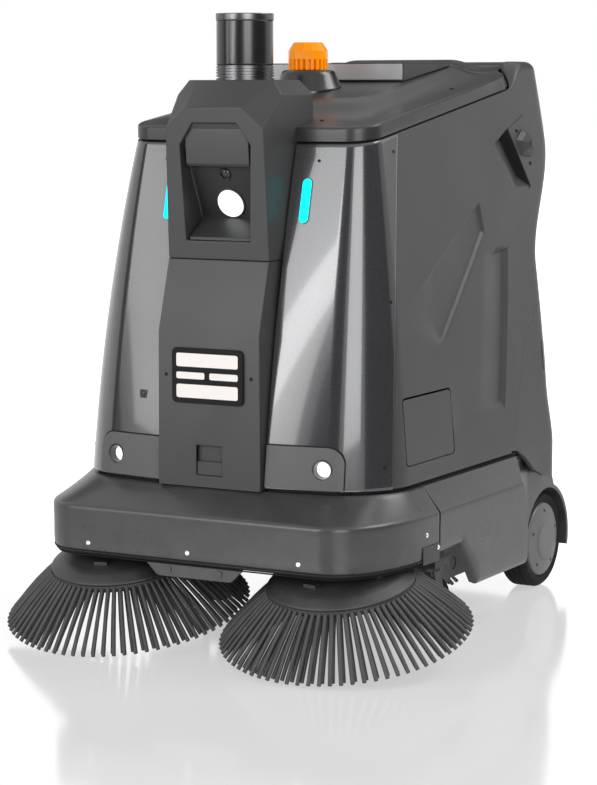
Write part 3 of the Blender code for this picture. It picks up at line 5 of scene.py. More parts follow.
import bmesh
import bpy
import numpy as np
from bpy.props import FloatProperty, FloatVectorProperty, IntProperty, PointerProperty
from mathutils import Euler, Matrix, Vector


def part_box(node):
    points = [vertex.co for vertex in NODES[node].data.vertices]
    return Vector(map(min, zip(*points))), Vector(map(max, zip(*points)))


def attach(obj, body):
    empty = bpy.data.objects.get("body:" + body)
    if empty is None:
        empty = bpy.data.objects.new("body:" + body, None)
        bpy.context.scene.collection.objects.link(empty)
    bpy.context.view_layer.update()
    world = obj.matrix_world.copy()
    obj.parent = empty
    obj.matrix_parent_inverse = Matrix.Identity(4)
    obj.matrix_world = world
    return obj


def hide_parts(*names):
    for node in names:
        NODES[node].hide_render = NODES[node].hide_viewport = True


bl_info = {
    "name": "Robotic floor cleaner",
    "version": (1, 0, 0),
    "blender": (4, 5, 0),
    "location": "3D view > Sidebar > Cleaner",
    "description": "Dresses the packed floor cleaner with its shells, brushes, lights and finishes",
    "category": "Object",
}

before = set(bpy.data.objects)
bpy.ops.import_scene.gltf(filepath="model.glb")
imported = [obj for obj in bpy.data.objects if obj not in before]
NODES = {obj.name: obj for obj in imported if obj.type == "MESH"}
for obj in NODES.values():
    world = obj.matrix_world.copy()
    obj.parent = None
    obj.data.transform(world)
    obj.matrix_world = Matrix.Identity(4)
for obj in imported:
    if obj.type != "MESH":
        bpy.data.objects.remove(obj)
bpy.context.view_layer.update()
PHOTO_HEIGHT, SENSOR_HEIGHT = 785, 36.0
SIDES = ((-1, "left"), (1, "right"))
TO_FRONT, TO_RIGHT = (0.0, -1.0, 0.0), (1.0, 0.0, 0.0)

# Body wall: how the outline leans from the foot to the shoulder, and its rear.
FOOT_CORNER, SHOULDER_CORNER = 0.100, 0.048
FOOT_BOW, SHOULDER_BOW = 0.45, 0.10
LEAN_START = 0.55
WAIST_Y, WAIST_Z, WAIST_CORNER = 0.405, 0.66, 0.070
CROWN_Y, CROWN_Z, CROWN_CORNER = 0.530, 0.91, 0.072
REAR_FLARE, REAR_FLARE_Z = 0.015, 0.42
FRONT_SEAM_FOOT_Y, FRONT_SEAM_TOP_Y, SEAM_START = -0.327, -0.188, 0.32
REAR_SEAM_Y = 0.333
# Shares of the way round half an outline at which its front, corner, side and rear corner end.
U_FLAT, U_CORNER, U_SIDE, U_REAR = 0.18, 0.30, 0.74, 0.84
# Wall, seams, the lips along them and the strips behind them.
WALL, SEAM, LIP, LIP_ROWS = 0.004, 0.0013, 0.009, 3
STRIP_HALF, STRIP_DEPTH = 0.007, 0.0062
# Columns and rows of the side panel's grid, part by part; the second parts span the hatch hole.
SIDE_COLUMNS, SIDE_ROWS = (9, 64, 230, 56), (9, 44, 200)
DOOR_ROWS, DOOR_SIDE_COLUMNS, DOOR_REAR_COLUMNS = 70, 70, 50
# Lid, hoop, spine and hatch.
LID_FRONT_Z, LID_SLOPE, LID_RIM, LID_CROWN = 0.910, 0.149, 0.027, 0.030
LID_FLANGE_SHARE, LID_CROWN_SHARE, LID_CENTRE_Y = 0.80, 0.64, 0.080
LID_MARKS, LID_MARK_RISE = ((0.207, 0.120), (0.130, -0.254)), 0.0035
LID_STEP, LID_SEAM, LID_GAP, LID_ROUND, PANEL_ROUND = 0.020, 0.002, 0.0025, 0.005, 0.0015
LID_DRAFT, LID_DRAFT_Y, LID_DRAFT_SHARE = 0.975, 0.150, 0.9
HOOP_TOP_Z, HOOP_WIDTH, HOOP_ROUND, HOOP_RISE = 1.058, 0.050, 0.022, 0.090
SPINE_HALF, HEAD_HALF, SPINE_BREAK_Z, SPINE_TOP_Z = 0.104, 0.105, 0.578, 0.705
HATCH_FRONT_Y, HATCH_REAR_Y, HATCH_LOW_Z, HATCH_TOP_Z = -0.288, -0.091, 0.344, 0.463
HATCH_ROUND, HATCH_GAP = 0.009, 0.0012
# Seam between the side panel and the rear door, then the door's lower edge, as Y and Z on the wall.
DOOR_Y = (0.163, 0.182, 0.232, 0.267, 0.302, 0.343, 0.43)
DOOR_Z = (0.311, 0.350, 0.465, 0.535, 0.565, 0.587, 0.600)
DOOR_FOOT_Y = (0.163, 0.190, 0.230, 0.270, 0.320, 0.372)
DOOR_FOOT_Z = (0.316, 0.314, 0.296, 0.268, 0.248, 0.241)
# Pressed folds of the side panel: four corners as Y and Z, then for each of their first three edges the
# slope's width, how softly the edge stops at its ends and how much of the depth it holds. Last come the
# depth and the distance over which the fold eases out inwards.
FOLDS = (
    (((-0.0968, 0.5489), (0.1259, 0.7334), (0.1177, 0.7934), (-0.1096, 0.6822)), (0.013, 0.012, 0.005),
     (0.012, 0.02, 0.06), (1.0, 1.0, 0.5), 0.0052, 0.14),
    (((-0.0348, 0.3853), (0.1434, 0.3989), (0.2246, 0.7030), (0.1840, 0.7010)), (0.020, 0.011, 0.007),
     (0.06, 0.02, 0.02), (0.3, 1.0, 0.7), 0.0072, 0.11),
)
# Scoop in front of the side camera: corners, the width of each edge's slope, and the depth.
SEAT = (((0.222, 0.898), (0.292, 0.815), (0.3654, 0.8132), (0.2929, 0.9268)),
        (0.070, 0.030, 0.008, 0.014), 0.026)
# The side camera on the wall, as Y and Z: its plate, its outline, its middle and its screws.
POD_PLATE = ((0.2950, 0.9255), (0.3670, 0.8140), (0.4062, 0.9080), (0.3787, 0.9530))
POD_OUTLINE = ((0.330, 0.872), (0.388, 0.866), (0.402, 0.893), (0.388, 0.916), (0.352, 0.924), (0.324, 0.905))
POD_MIDDLE, POD_LENS_SHIFT = (0.366, 0.895), (0.004, 0.002)
POD_SCREWS, POD_SCREW_R = ((0.333, 0.922), (0.378, 0.858)), 0.0036
# Middle of the black patch of painted shade that stands for the notch on the rear door's edge, as Y and Z on
# the wall.
REAR_SLOT_Y, REAR_SLOT_Z = 0.350, 0.482
# Bumper, skirts, wheels and fenders.
TRIM_TOP, TRIM_HALF, TRIM_FRONT_Y = 0.304, 0.358, -0.497
TRIM_CORNER_X, TRIM_CORNER_Y, TRIM_SQUARE = 0.120, 0.257, 0.82
CREASE_Z, BUMPER_LOW_Z, TRIM_REVEAL, FLANGE = 0.2625, 0.175, 0.004, 0.020
SKIRT_SEAM_Y, SKIRT_CUT_Z, SKIRT_FOOT_Z = -0.234, 0.186, 0.100
SKIRT_REAR_Y, SKIRT_CREASE_Y, SKIRT_TOP_Y, SKIRT_STRAIGHT_Z = 0.158, 0.134, 0.179, 0.190
SKIRT_CUT_SHARE, SKIRT_FOOT_SHARE = 0.25, 0.43
WHEEL_R, WHEEL_Y, WHEEL_IN_X, WHEEL_OUT_X = 0.097, 0.434, 0.213, 0.273
HUB_R, CAP_OUT, AXLE_R, BRACKET_IN_X = 0.0745, 0.008, 0.015, 0.180
FENDER_IN_X, FENDER_OUT_X, ARCH_R, FENDER_WALL, FENDER_FRONT_Y = 0.2136, 0.281, 0.105, 0.009, 0.215
CHEEK_OUT_X, CHEEK_LOW_Z, DECK_LOW_Z = 0.322, 0.110, 0.296
# Inset from the crease and rise over the bumper's lower edge of each bead of the rubber strip.
BUMPER_BEADS, BEAD_R = ((0.0090, -0.0016), (0.0052, 0.0026), (0.0022, 0.0072)), 0.0014
TRIM_SCREW_R, TRIM_WALL = 0.0044, 0.004
# Headlights, corner plates and light bars.
HEADLIGHT_X, HEADLIGHT_Z, HEADLIGHT_R = 0.211, 0.347, 0.0155
PLATE_LEFT, PLATE_RIGHT, PLATE_TOP, PLATE_ROUND = 0.1070, 0.2475, 0.3860, 0.030
BAR_X, BAR_Z = 0.139, 0.809
# The head's window leans: Y at a height z is WINDOW_Y + WINDOW_LEAN (WINDOW_TOP_Z - z).
WINDOW_Y, WINDOW_TOP_Z, WINDOW_LEAN = -0.408, 0.944, 0.40
RANGER_Y, SPINE_FACE_Y, STATUS_RIM = -0.302, -0.434, 0.0095
BEACON_Y, BEACON_R, BEACON_SEAT, BEACON_TEETH, BEACON_GAP = -0.066, 0.0365, 0.036, 22, 0.0004
# Lamps: name, turn to the right of the front, distance, height, width, tallness, roll, brightness, and
# whether gloss shows the lamp.
LAMPS = (
    ("left strip", -19.5, 4.4, 1.8, 1.55, 2.4, 0.0, 3.9, True),
    ("edge strip", -12.5, 4.2, 1.75, 0.42, 2.6, -33.0, 5.4, True),
    ("far left strip", -42.0, 4.4, 1.8, 0.72, 2.4, 0.0, 2.9, True),
    ("right strip", 38.5, 4.4, 1.8, 2.2, 2.4, 0.0, 4.6, True),
    ("overhead", 120.0, 2.4, 3.0, 1.6, 1.6, 0.0, 6.0, True),
    ("fill", 88.0, 4.4, 1.6, 2.2, 2.2, 0.0, 2.4, False),
)
AIM_Z, FLOOR_GLOW, FLAG_R, FLAG_COLOUR = 0.5, 0.52, 3.2, (0.03, 0.03, 0.03, 1.0)
# Flags: name, first and last turn to the right of the front, lower and upper height, brightness, and
# whether the flag answers rays of any length.
FLAGS = (
    ("far left flag", -60.0, -48.5, 0.0, 3.2, 0.0, False),
    ("line flag", -6.0, 18.0, 0.0, 3.2, 0.0, False),
    ("right flag", 57.0, 116.0, 0.0, 3.2, 0.0, False),
    ("edge flag", 116.0, 152.0, 0.0, 3.2, 0.45, False),
    ("rear flag", 152.0, 245.0, 1.65, 3.0, 0.0, True),
)
# The other flags answer only rays of about this length, so that the floor doesn't mirror them.
FLAG_REACH, FLAG_SPREAD = 2.95, 0.38
# The floor mirrors near this spot. Further out it is dull and glows.
SHINE_SPOT, SHINE_NEAR, SHINE_FAR, FAR_GLOW = (0.25, -0.5, 0.0), 0.95, 1.55, 0.6
FLOOR_NEAR_ROUGH, FLOOR_FAR_ROUGH, FLOOR_SEEN, FLOOR_IOR = 0.12, 0.9, (0.30, 0.30, 0.30, 1.0), 3.0
# Roller brush.
ROLLER_R, ROLLER_Y, ROLLER_Z, ROLLER_HALF, SHAFT_END = 0.085, 0.160, 0.0875, 0.182, 0.199
TUFT_ROWS, TUFTS_IN_ROW, CHEVRON = 8, 49, 0.9
# How finishes answer: bump strength and reach, coat, what dust adds, and the shine of dull and of lit ones.
BUMP_GAIN, BUMP_REACH, COAT_ROUGH, DUST_ROUGH = 4.0, 0.0006, 0.06, 0.6
DULL_FROM, DULL_SHINE, GLOW_SHINE = 0.7, 0.2, 0.15
WHITE = (1.0, 1.0, 1.0, 1.0)


def mix(a, b, share):
    """The value the given share of the way from a to b: a + (b - a) share."""
    return a + (b - a) * share


def smooth(share):
    """A share s held between 0 and 1 and eased as s s (3 - 2 s)."""
    share = np.clip(share, 0.0, 1.0)
    return share * share * (3.0 - 2.0 * share)


def circle(count):
    """Even angles once round a circle."""
    return np.linspace(0.0, 2.0 * np.pi, count, endpoint=False)


def xyz(x, y, z):
    """Points from their coordinates, given as numbers or as arrays that fit together."""
    return np.stack(np.broadcast_arrays(x, y, z), axis=-1)


def body():
    """The body's sizes that a user may change."""
    return bpy.context.scene.cleaner_body


def length(name, text, value):
    """A property that holds a length in metres."""
    return FloatProperty(name=name, description=text, default=value, unit="LENGTH", precision=4)


def shade(name, text, value):
    """A property that holds a linear colour."""
    return FloatVectorProperty(name=name, description=text, default=value, subtype="COLOR",
                               min=0.0, max=1.0)


def angle(name, text, degrees):
    """A property that holds an angle, given in degrees."""
    return FloatProperty(name=name, description=text, default=math.radians(degrees), subtype="ANGLE")


class CleanerBodySizes(bpy.types.PropertyGroup):
    """Main sizes of the body wall."""

    foot_z: length("Foot height", "Height of the body wall's lower edge", 0.311)
    shoulder_z: length("Shoulder height", "Height at which the wall has leaned in fully", 0.92)
    foot_half: length("Foot half width", "Half width of the body at its foot", 0.320)
    shoulder_half: length("Shoulder half width", "Half width of the body at its shoulder", 0.247)
    foot_front: length("Foot front", "Y of the body's front at its foot", -0.427)
    shoulder_front: length("Shoulder front", "Y of the body's front at its shoulder", -0.305)


class CleanerBrushSizes(bpy.types.PropertyGroup):
    """Sizes of the side brushes."""

    centre_x: length("Brush centre X", "Distance of a side brush from the middle", 0.2268)
    centre_y: length("Brush centre Y", "Y of the middle of a side brush's tips", -0.343259)
    centre_z: length("Brush centre Z", "Height of the middle of a side brush's tips", 0.052282)
    root_r: length("Root radius", "Radius at which the strands leave the cone", 0.131)
    tip_r: length("Tip radius", "Radius of the outer row's tips", 0.224)
    strand: length("Strand thickness", "Thickness of one strand", 0.0080)
    tilt: angle("Tilt", "Tilt of a side brush towards the front", 12.5)
    per_row: IntProperty(name="Strands in a row", description="Strands in each of the two rows", default=72,
                         min=12, max=120)


class CleanerColours(bpy.types.PropertyGroup):
    """Linear colours of the finishes."""

    gloss: shade("Gloss graphite", "Front shells", (0.048, 0.049, 0.052))
    satin: shade("Satin graphite", "Lid and console", (0.030, 0.0304, 0.0318))
    moulded: shade("Moulded grey", "Panels, bumper and skirts", (0.041, 0.041, 0.0415))
    head: shade("Head grey", "Spine and sensor head", (0.030, 0.030, 0.0304))
    plate: shade("Plate grey", "Corner plates", (0.085, 0.085, 0.087))
    # Painted reflection and painted light: the console front is set far lighter than the console so that it
    # stands in for the bright reflection on it and the light the head keeps off it.
    console: shade("Console grey", "Front of the console", (0.460, 0.465, 0.475))
    dark: shade("Dark plastic", "Dark plastic parts", (0.028, 0.028, 0.030))
    black: shade("Black plastic", "Glossy black parts", (0.010, 0.010, 0.011))
    rubber: shade("Rubber", "Tyres and casters", (0.007, 0.007, 0.007))
    bristle: shade("Bristle", "Brush strands", (0.040, 0.040, 0.041))
    cap: shade("Hub cap", "Wheel hub caps", (0.115, 0.115, 0.115))
    steel: shade("Painted steel", "Chassis, forks and arms", (0.011, 0.011, 0.0115))
    silver: shade("Silver", "Ranging sensor's metal", (0.130, 0.131, 0.134))
    bright: shade("Bright steel", "Screws", (0.720, 0.725, 0.730))
    amber: shade("Amber", "Beacon lens", (1.0, 0.310, 0.0))
    cyan: shade("Cyan", "Light bars", (0.0, 0.900, 0.960))
    white: shade("Lamp white", "Lamps", (0.900, 0.930, 0.960))
    bars: shade("Status white", "Status bars", (0.780, 0.740, 0.715))
    red: shade("Stop red", "Stop button", (0.550, 0.012, 0.010))
    dust: shade("Dust", "Dust that settles low on the machine", (0.300, 0.285, 0.262))
    floor: shade("Floor", "Floor under the machine", (0.600, 0.600, 0.600))


class CleanerStage(bpy.types.PropertyGroup):
    """Camera and light."""

    camera_x: length("Camera X", "X of the camera", 2.19)
    camera_y: length("Camera Y", "Y of the camera", -4.12)
    camera_z: length("Camera Z", "Z of the camera", 1.0)
    azimuth: angle("Azimuth", "Turn of the camera to the right of the front", 28.6)
    pitch: angle("Pitch", "How far the camera looks down", 7.0)
    focal: FloatProperty(name="Focal length", description="Focal length in pixels of the photograph's height",
                         default=2457.0, subtype="PIXEL")
    sky: FloatProperty(name="Sky light", description="Strength of the even light", default=0.24)


# Node groups and finishes.


def calc(tree, kind, a, b=None):
    """A math node of two values, each a socket or a number."""
    node = tree.nodes.new("ShaderNodeMath")
    node.operation = kind
    for slot, value in enumerate((a, b)):
        if value is None:
            continue
        if isinstance(value, (int, float)):
            node.inputs[slot].default_value = value
        else:
            tree.links.new(value, node.inputs[slot])
    return node.outputs[0]


def noise(tree, place, scale, detail=2.0):
    """A noise value at a place; scale is a socket or a number."""
    node = tree.nodes.new("ShaderNodeTexNoise")
    node.inputs["Detail"].default_value = detail
    if isinstance(scale, (int, float)):
        node.inputs["Scale"].default_value = scale
    else:
        tree.links.new(scale, node.inputs["Scale"])
    tree.links.new(place, node.inputs["Vector"])
    return node.outputs[0]


def span(tree, value, low, high, to_low, to_high):
    """A value carried from one range to another and held inside it."""
    node = tree.nodes.new("ShaderNodeMapRange")
    for slot, number in zip((1, 2, 3, 4), (low, high, to_low, to_high)):
        node.inputs[slot].default_value = number
    tree.links.new(value, node.inputs[0])
    return node.outputs[0]


def new_group(name, inputs, outputs):
    """An empty shader node group with float sockets, its input node and its output node."""
    tree = bpy.data.node_groups.new(name, "ShaderNodeTree")
    for label, value in inputs:
        made = tree.interface.new_socket(label, in_out="INPUT", socket_type="NodeSocketFloat")
        made.default_value = value
    for label in outputs:
        tree.interface.new_socket(label, in_out="OUTPUT", socket_type="NodeSocketFloat")
    return tree, tree.nodes.new("NodeGroupInput"), tree.nodes.new("NodeGroupOutput")


def grain_group():
    """Moulded grain: fine Height, broad Patch and Tone = 1 + Amount (0.7 fine + broad - 0.85)."""
    if "moulded grain" in bpy.data.node_groups:
        return bpy.data.node_groups["moulded grain"]
    inputs = (("Scale", 900.0), ("Amount", 0.1))
    tree, given, out = new_group("moulded grain", inputs, ("Tone", "Height", "Patch"))
    place = tree.nodes.new("ShaderNodeTexCoord").outputs["Object"]
    fine = noise(tree, place, given.outputs["Scale"])
    broad = noise(tree, place, 7.0, 4.0)
    both = calc(tree, "ADD", calc(tree, "MULTIPLY", fine, 0.7), broad)
    swing = calc(tree, "MULTIPLY", calc(tree, "SUBTRACT", both, 0.85), given.outputs["Amount"])
    tree.links.new(calc(tree, "ADD", swing, 1.0), out.inputs["Tone"])
    tree.links.new(fine, out.inputs["Height"])
    tree.links.new(span(tree, broad, 0.3, 0.7, 0.0, 1.0), out.inputs["Patch"])
    return tree


def dust_group():
    """Dust: a mask that grows towards the floor and is broken up by noise, times Amount."""
    if "floor dust" in bpy.data.node_groups:
        return bpy.data.node_groups["floor dust"]
    tree, given, out = new_group("floor dust", (("Amount", 0.2),), ("Mask",))
    place = tree.nodes.new("ShaderNodeTexCoord").outputs["Object"]
    parts = tree.nodes.new("ShaderNodeSeparateXYZ")
    tree.links.new(place, parts.inputs[0])
    low = span(tree, parts.outputs["Z"], 0.01, 0.32, 1.0, 0.0)
    broken = span(tree, noise(tree, place, 26.0, 6.0), 0.38, 0.68, 0.1, 1.0)
    tree.links.new(calc(tree, "MULTIPLY", calc(tree, "MULTIPLY", low, broken), given.outputs["Amount"]),
                   out.inputs["Mask"])
    return tree


def flake_group():
    """Metal flake: Tone = 1 + Amount (cell value - 0.5) for small random cells."""
    if "metal flake" in bpy.data.node_groups:
        return bpy.data.node_groups["metal flake"]
    tree, given, out = new_group("metal flake", (("Amount", 0.3),), ("Tone",))
    place = tree.nodes.new("ShaderNodeTexCoord").outputs["Object"]
    cells = tree.nodes.new("ShaderNodeTexVoronoi")
    cells.inputs["Scale"].default_value = 1500.0
    tree.links.new(place, cells.inputs["Vector"])
    parts = tree.nodes.new("ShaderNodeSeparateColor")
    tree.links.new(cells.outputs["Color"], parts.inputs[0])
    middled = calc(tree, "SUBTRACT", parts.outputs[0], 0.5)
    swing = calc(tree, "MULTIPLY", middled, given.outputs["Amount"])
    tree.links.new(calc(tree, "ADD", swing, 1.0), out.inputs["Tone"])
    return tree


# Finishes: colour name, roughness and its swing, metallic, coat, grain scale, grain depth, swing of tone,
# dust, flake and glow.
FINISHES = {
    "gloss_graphite": ("gloss", 0.20, 0.04, 0.35, 1.0, 500.0, 0.0, 0.06, 0.0, 0.25, 0.0),
    "satin_graphite": ("satin", 0.36, 0.06, 0.20, 0.06, 700.0, 0.004, 0.08, 0.0, 0.15, 0.0),
    "moulded_grey": ("moulded", 0.42, 0.08, 0.0, 0.0, 1100.0, 0.05, 0.10, 0.10, 0.0, 0.0),
    "trim_grey": ("moulded", 0.28, 0.05, 0.0, 0.0, 900.0, 0.012, 0.06, 0.16, 0.0, 0.0),
    "head_grey": ("head", 0.44, 0.06, 0.0, 0.0, 1200.0, 0.05, 0.09, 0.0, 0.0, 0.0),
    "plate_grey": ("plate", 0.48, 0.06, 0.0, 0.0, 1100.0, 0.06, 0.08, 0.05, 0.0, 0.0),
    "dark_plastic": ("dark", 0.48, 0.08, 0.0, 0.0, 900.0, 0.05, 0.15, 0.12, 0.0, 0.0),
    "black_plastic": ("black", 0.24, 0.06, 0.0, 0.2, 600.0, 0.01, 0.15, 0.0, 0.0, 0.0),
    "window_black": ("black", 0.55, 0.06, 0.0, 0.0, 900.0, 0.02, 0.12, 0.0, 0.0, 0.0),
    "bright_steel": ("bright", 0.24, 0.08, 1.0, 0.0, 800.0, 0.02, 0.08, 0.0, 0.0, 0.0),
    # Black for seams, marks and frames; it is also the painted shade on the scoop walls beside the side
    # cameras.
    "seam_and_shade_black": ("black", 0.75, 0.06, 0.0, 0.0, 600.0, 0.02, 0.15, 0.0, 0.0, 0.0),
    "rubber": ("rubber", 0.80, 0.08, 0.0, 0.0, 600.0, 0.10, 0.25, 0.06, 0.0, 0.0),
    "bristle": ("bristle", 0.55, 0.10, 0.0, 0.0, 420.0, 0.06, 0.30, 0.10, 0.0, 0.0),
    "hub_cap": ("cap", 0.45, 0.08, 0.1, 0.1, 900.0, 0.04, 0.10, 0.12, 0.0, 0.0),
    "painted_steel": ("steel", 0.42, 0.10, 0.4, 0.2, 260.0, 0.06, 0.15, 0.25, 0.0, 0.0),
    # Painted reflection: the light colour of the console front stands in for the bright reflection on it.
    "console_painted_reflection": ("console", 0.40, 0.06, 0.0, 0.1, 800.0, 0.02, 0.08, 0.0, 0.0, 0.0),
    "silver": ("silver", 0.30, 0.08, 1.0, 0.0, 800.0, 0.02, 0.08, 0.0, 0.10, 0.0),
    "amber": ("amber", 0.30, 0.05, 0.0, 0.1, 300.0, 0.01, 0.12, 0.0, 0.0, 0.07),
    "cyan_light": ("cyan", 0.50, 0.05, 0.0, 0.0, 300.0, 0.0, 0.05, 0.0, 0.0, 1.05),
    "white_light": ("white", 0.25, 0.05, 0.0, 0.3, 300.0, 0.0, 0.05, 0.0, 0.0, 1.20),
    "status_white": ("bars", 0.45, 0.05, 0.0, 0.1, 500.0, 0.02, 0.06, 0.0, 0.0, 0.12),
    "stop_red": ("red", 0.32, 0.06, 0.0, 0.3, 600.0, 0.02, 0.10, 0.0, 0.0, 0.0),
}


def set_inputs(node, values):
    """Set a node's inputs by their names."""
    for name, value in values.items():
        node.inputs[name].default_value = value


def new_material(name):
    """A new material, its node tree and its shader."""
    made = bpy.data.materials.new(name)
    made.use_nodes = True
    return made, made.node_tree, made.node_tree.nodes["Principled BSDF"]


def grouped(tree, group, **values):
    """A node of a shared group with its inputs set."""
    node = tree.nodes.new("ShaderNodeGroup")
    node.node_tree = group
    set_inputs(node, values)
    return node


def finish(name):
    """The named finish as a material whose colour, roughness and bump come from the shared groups."""
    label = name + " finish"
    if label in bpy.data.materials:
        return bpy.data.materials[label]
    colour, rough, swing, metal, coat, scale, depth, tone, dust, flake, glow = FINISHES[name]
    colours = bpy.context.scene.cleaner_colours
    made, tree, shader = new_material(label)
    grain = grouped(tree, grain_group(), Scale=scale, Amount=tone)
    tint = grain.outputs["Tone"]
    if flake:
        cells = grouped(tree, flake_group(), Amount=flake)
        tint = calc(tree, "MULTIPLY", tint, cells.outputs["Tone"])
    scaled = tree.nodes.new("ShaderNodeVectorMath")
    scaled.operation = "SCALE"
    scaled.inputs[0].default_value = getattr(colours, colour)
    tree.links.new(tint, scaled.inputs["Scale"])
    base = scaled.outputs[0]
    roughness = calc(tree, "MULTIPLY_ADD", grain.outputs["Patch"], swing)
    roughness.node.inputs[2].default_value = rough - 0.5 * swing
    if dust:
        mask = grouped(tree, dust_group(), Amount=dust).outputs["Mask"]
        blend = tree.nodes.new("ShaderNodeMix")
        blend.data_type = "RGBA"
        blend.inputs[7].default_value = (*colours.dust, 1.0)
        tree.links.new(mask, blend.inputs[0])
        tree.links.new(base, blend.inputs[6])
        base = blend.outputs[2]
        roughness = calc(tree, "ADD", roughness, calc(tree, "MULTIPLY", mask, DUST_ROUGH))
    tree.links.new(base, shader.inputs["Base Color"])
    tree.links.new(roughness, shader.inputs["Roughness"])
    if depth:
        bump = tree.nodes.new("ShaderNodeBump")
        set_inputs(bump, {"Strength": depth * BUMP_GAIN, "Distance": BUMP_REACH})
        tree.links.new(grain.outputs["Height"], bump.inputs["Height"])
        tree.links.new(bump.outputs[0], shader.inputs["Normal"])
    if rough > DULL_FROM:
        set_inputs(shader, {"Specular IOR Level": DULL_SHINE})
    set_inputs(shader, {"Metallic": metal, "Coat Weight": coat, "Coat Roughness": COAT_ROUGH})
    if glow:
        set_inputs(shader, {"Specular IOR Level": GLOW_SHINE, "Emission Strength": glow})
        tree.links.new(base, shader.inputs["Emission Color"])
    return made


# Meshes from arrays.


def quads(rows, columns, wrap=False):
    """Corner numbers of the four-sided faces of a grid of points that is stored row by row."""
    i, j = np.meshgrid(np.arange(rows - 1), np.arange(columns if wrap else columns - 1), indexing="ij")
    k = (j + 1) % columns
    a = i * columns
    return np.stack([a + j, a + k, a + columns + k, a + columns + j], axis=-1).reshape(-1, 4)


def sheet(points, keep=None):
    """Points and faces of an open grid; keep is a mask of the faces that stay."""
    rows, columns = points.shape[:2]
    faces = quads(rows, columns)
    if keep is not None:
        faces = faces[keep.ravel()]
    return points.reshape(-1, 3), faces.tolist()


def tube(loops, start=True, stop=True):
    """Points and faces of a skin over closed loops, with a flat end at the start and the stop."""
    count, around = loops.shape[:2]
    faces = quads(count, around, wrap=True).tolist()
    if start:
        faces.append(list(range(around - 1, -1, -1)))
    if stop:
        faces.append(list(range((count - 1) * around, count * around)))
    return loops.reshape(-1, 3), faces


def slab(outer, under):
    """A closed sheet between two grids of the same size."""
    rows, columns = outer.shape[:2]
    size = rows * columns
    top = quads(rows, columns)
    rim = np.concatenate([np.arange(columns), columns * np.arange(1, rows) + columns - 1,
                          (rows - 1) * columns + np.arange(columns - 2, -1, -1),
                          columns * np.arange(rows - 2, 0, -1)])
    after = np.roll(rim, -1)
    side = np.stack([after, rim, rim + size, after + size], axis=1)
    faces = np.concatenate([top, top[:, ::-1] + size, side]).tolist()
    return np.concatenate([outer.reshape(-1, 3), under.reshape(-1, 3)]), faces


def strands(points, flip=False):
    """Many alike tubes, stored as (tube, row, corner) points, each closed at its far end."""
    count, rows, around = points.shape[:3]
    start = rows * around * np.arange(count)
    skin = (quads(rows, around, wrap=True)[None] + start[:, None, None]).reshape(-1, 4)
    ends = np.arange((rows - 1) * around, rows * around)[None] + start[:, None]
    faces = skin.tolist() + ends.tolist()
    return points.reshape(-1, 3), [face[::-1] for face in faces] if flip else faces


def mirrored(part):
    """The same points and faces on the other side of X = 0, still facing outwards."""
    points, faces = part
    return points * (-1.0, 1.0, 1.0), [face[::-1] for face in faces]


def sided(part, side):
    """A right-hand part, or its mirror image for the left."""
    return part if side > 0 else mirrored(part)


def new_object(name, data):
    """A new object in the scene."""
    made = bpy.data.objects.new(name, data)
    bpy.context.scene.collection.objects.link(made)
    return made


def mesh_of(name, parts):
    """One mesh of all the parts' points and faces."""
    points = []
    faces = []
    count = 0
    for spots, corners in parts:
        points.append(spots)
        faces += [[c + count for c in face] for face in corners]
        count += len(spots)
    mesh = bpy.data.meshes.new(name)
    mesh.from_pydata(np.concatenate(points).tolist(), [], faces)
    return mesh


def carve(made, cutters):
    """Cut closed parts out of an object's mesh, and take the cutter away again."""
    for cutter in cutters:
        tool = new_object("cutter", mesh_of("cutter", [cutter]))
        step = made.modifiers.new("Cut", "BOOLEAN")
        step.operation = "DIFFERENCE"
        step.solver = "EXACT"
        step.object = tool
        graph = bpy.context.evaluated_depsgraph_get()
        graph.update()
        old = made.data
        made.data = bpy.data.meshes.new_from_object(made.evaluated_get(graph))
        made.modifiers.clear()
        bpy.data.meshes.remove(old)
        bpy.data.objects.remove(tool, do_unlink=True)


def piece(name, parts, look, slot, on="machine", stands_for=(), thick=0.0, bevel=0.0, sharp=40.0, cuts=()):
    """One object made of parts, dressed, riding on a body and standing for the named CAD nodes."""
    mesh = mesh_of(name, parts)
    mesh.materials.append(finish(look))
    made = new_object(name, mesh)
    carve(made, cuts)
    made.data.shade_smooth()
    made.data.set_sharp_from_angle(angle=math.radians(sharp))
    if thick:
        wall = made.modifiers.new("Wall", "SOLIDIFY")
        wall.thickness = thick
        wall.offset = -1.0
    if bevel:
        edge = made.modifiers.new("Edge", "BEVEL")
        edge.width = bevel
        edge.segments = 2
        edge.limit_method = "ANGLE"
        edge.angle_limit = math.radians(32.0)
        edge.harden_normals = True
    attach(made, on)
    if stands_for:
        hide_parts(*stands_for)
    return made


def pair(name, parts, look, slot, node="", on="", cuts=(), **more):
    """A right-hand piece and its mirror image, each standing for its side's node on its side's body."""
    for side, word in SIDES:
        made, cut = ([sided(part, side) for part in group] for group in (parts, cuts))
        stands_for = (word + node,) if node else ()
        piece(word + name, made, look, slot, word + on if on else "machine", stands_for, cuts=cut, **more)


def dress(look, *names):
    """Give shown CAD nodes a finish."""
    for name in names:
        slots = NODES[name].material_slots
        if len(slots):
            for slot in slots:
                slot.material = finish(look)
        else:
            NODES[name].data.materials.append(finish(look))


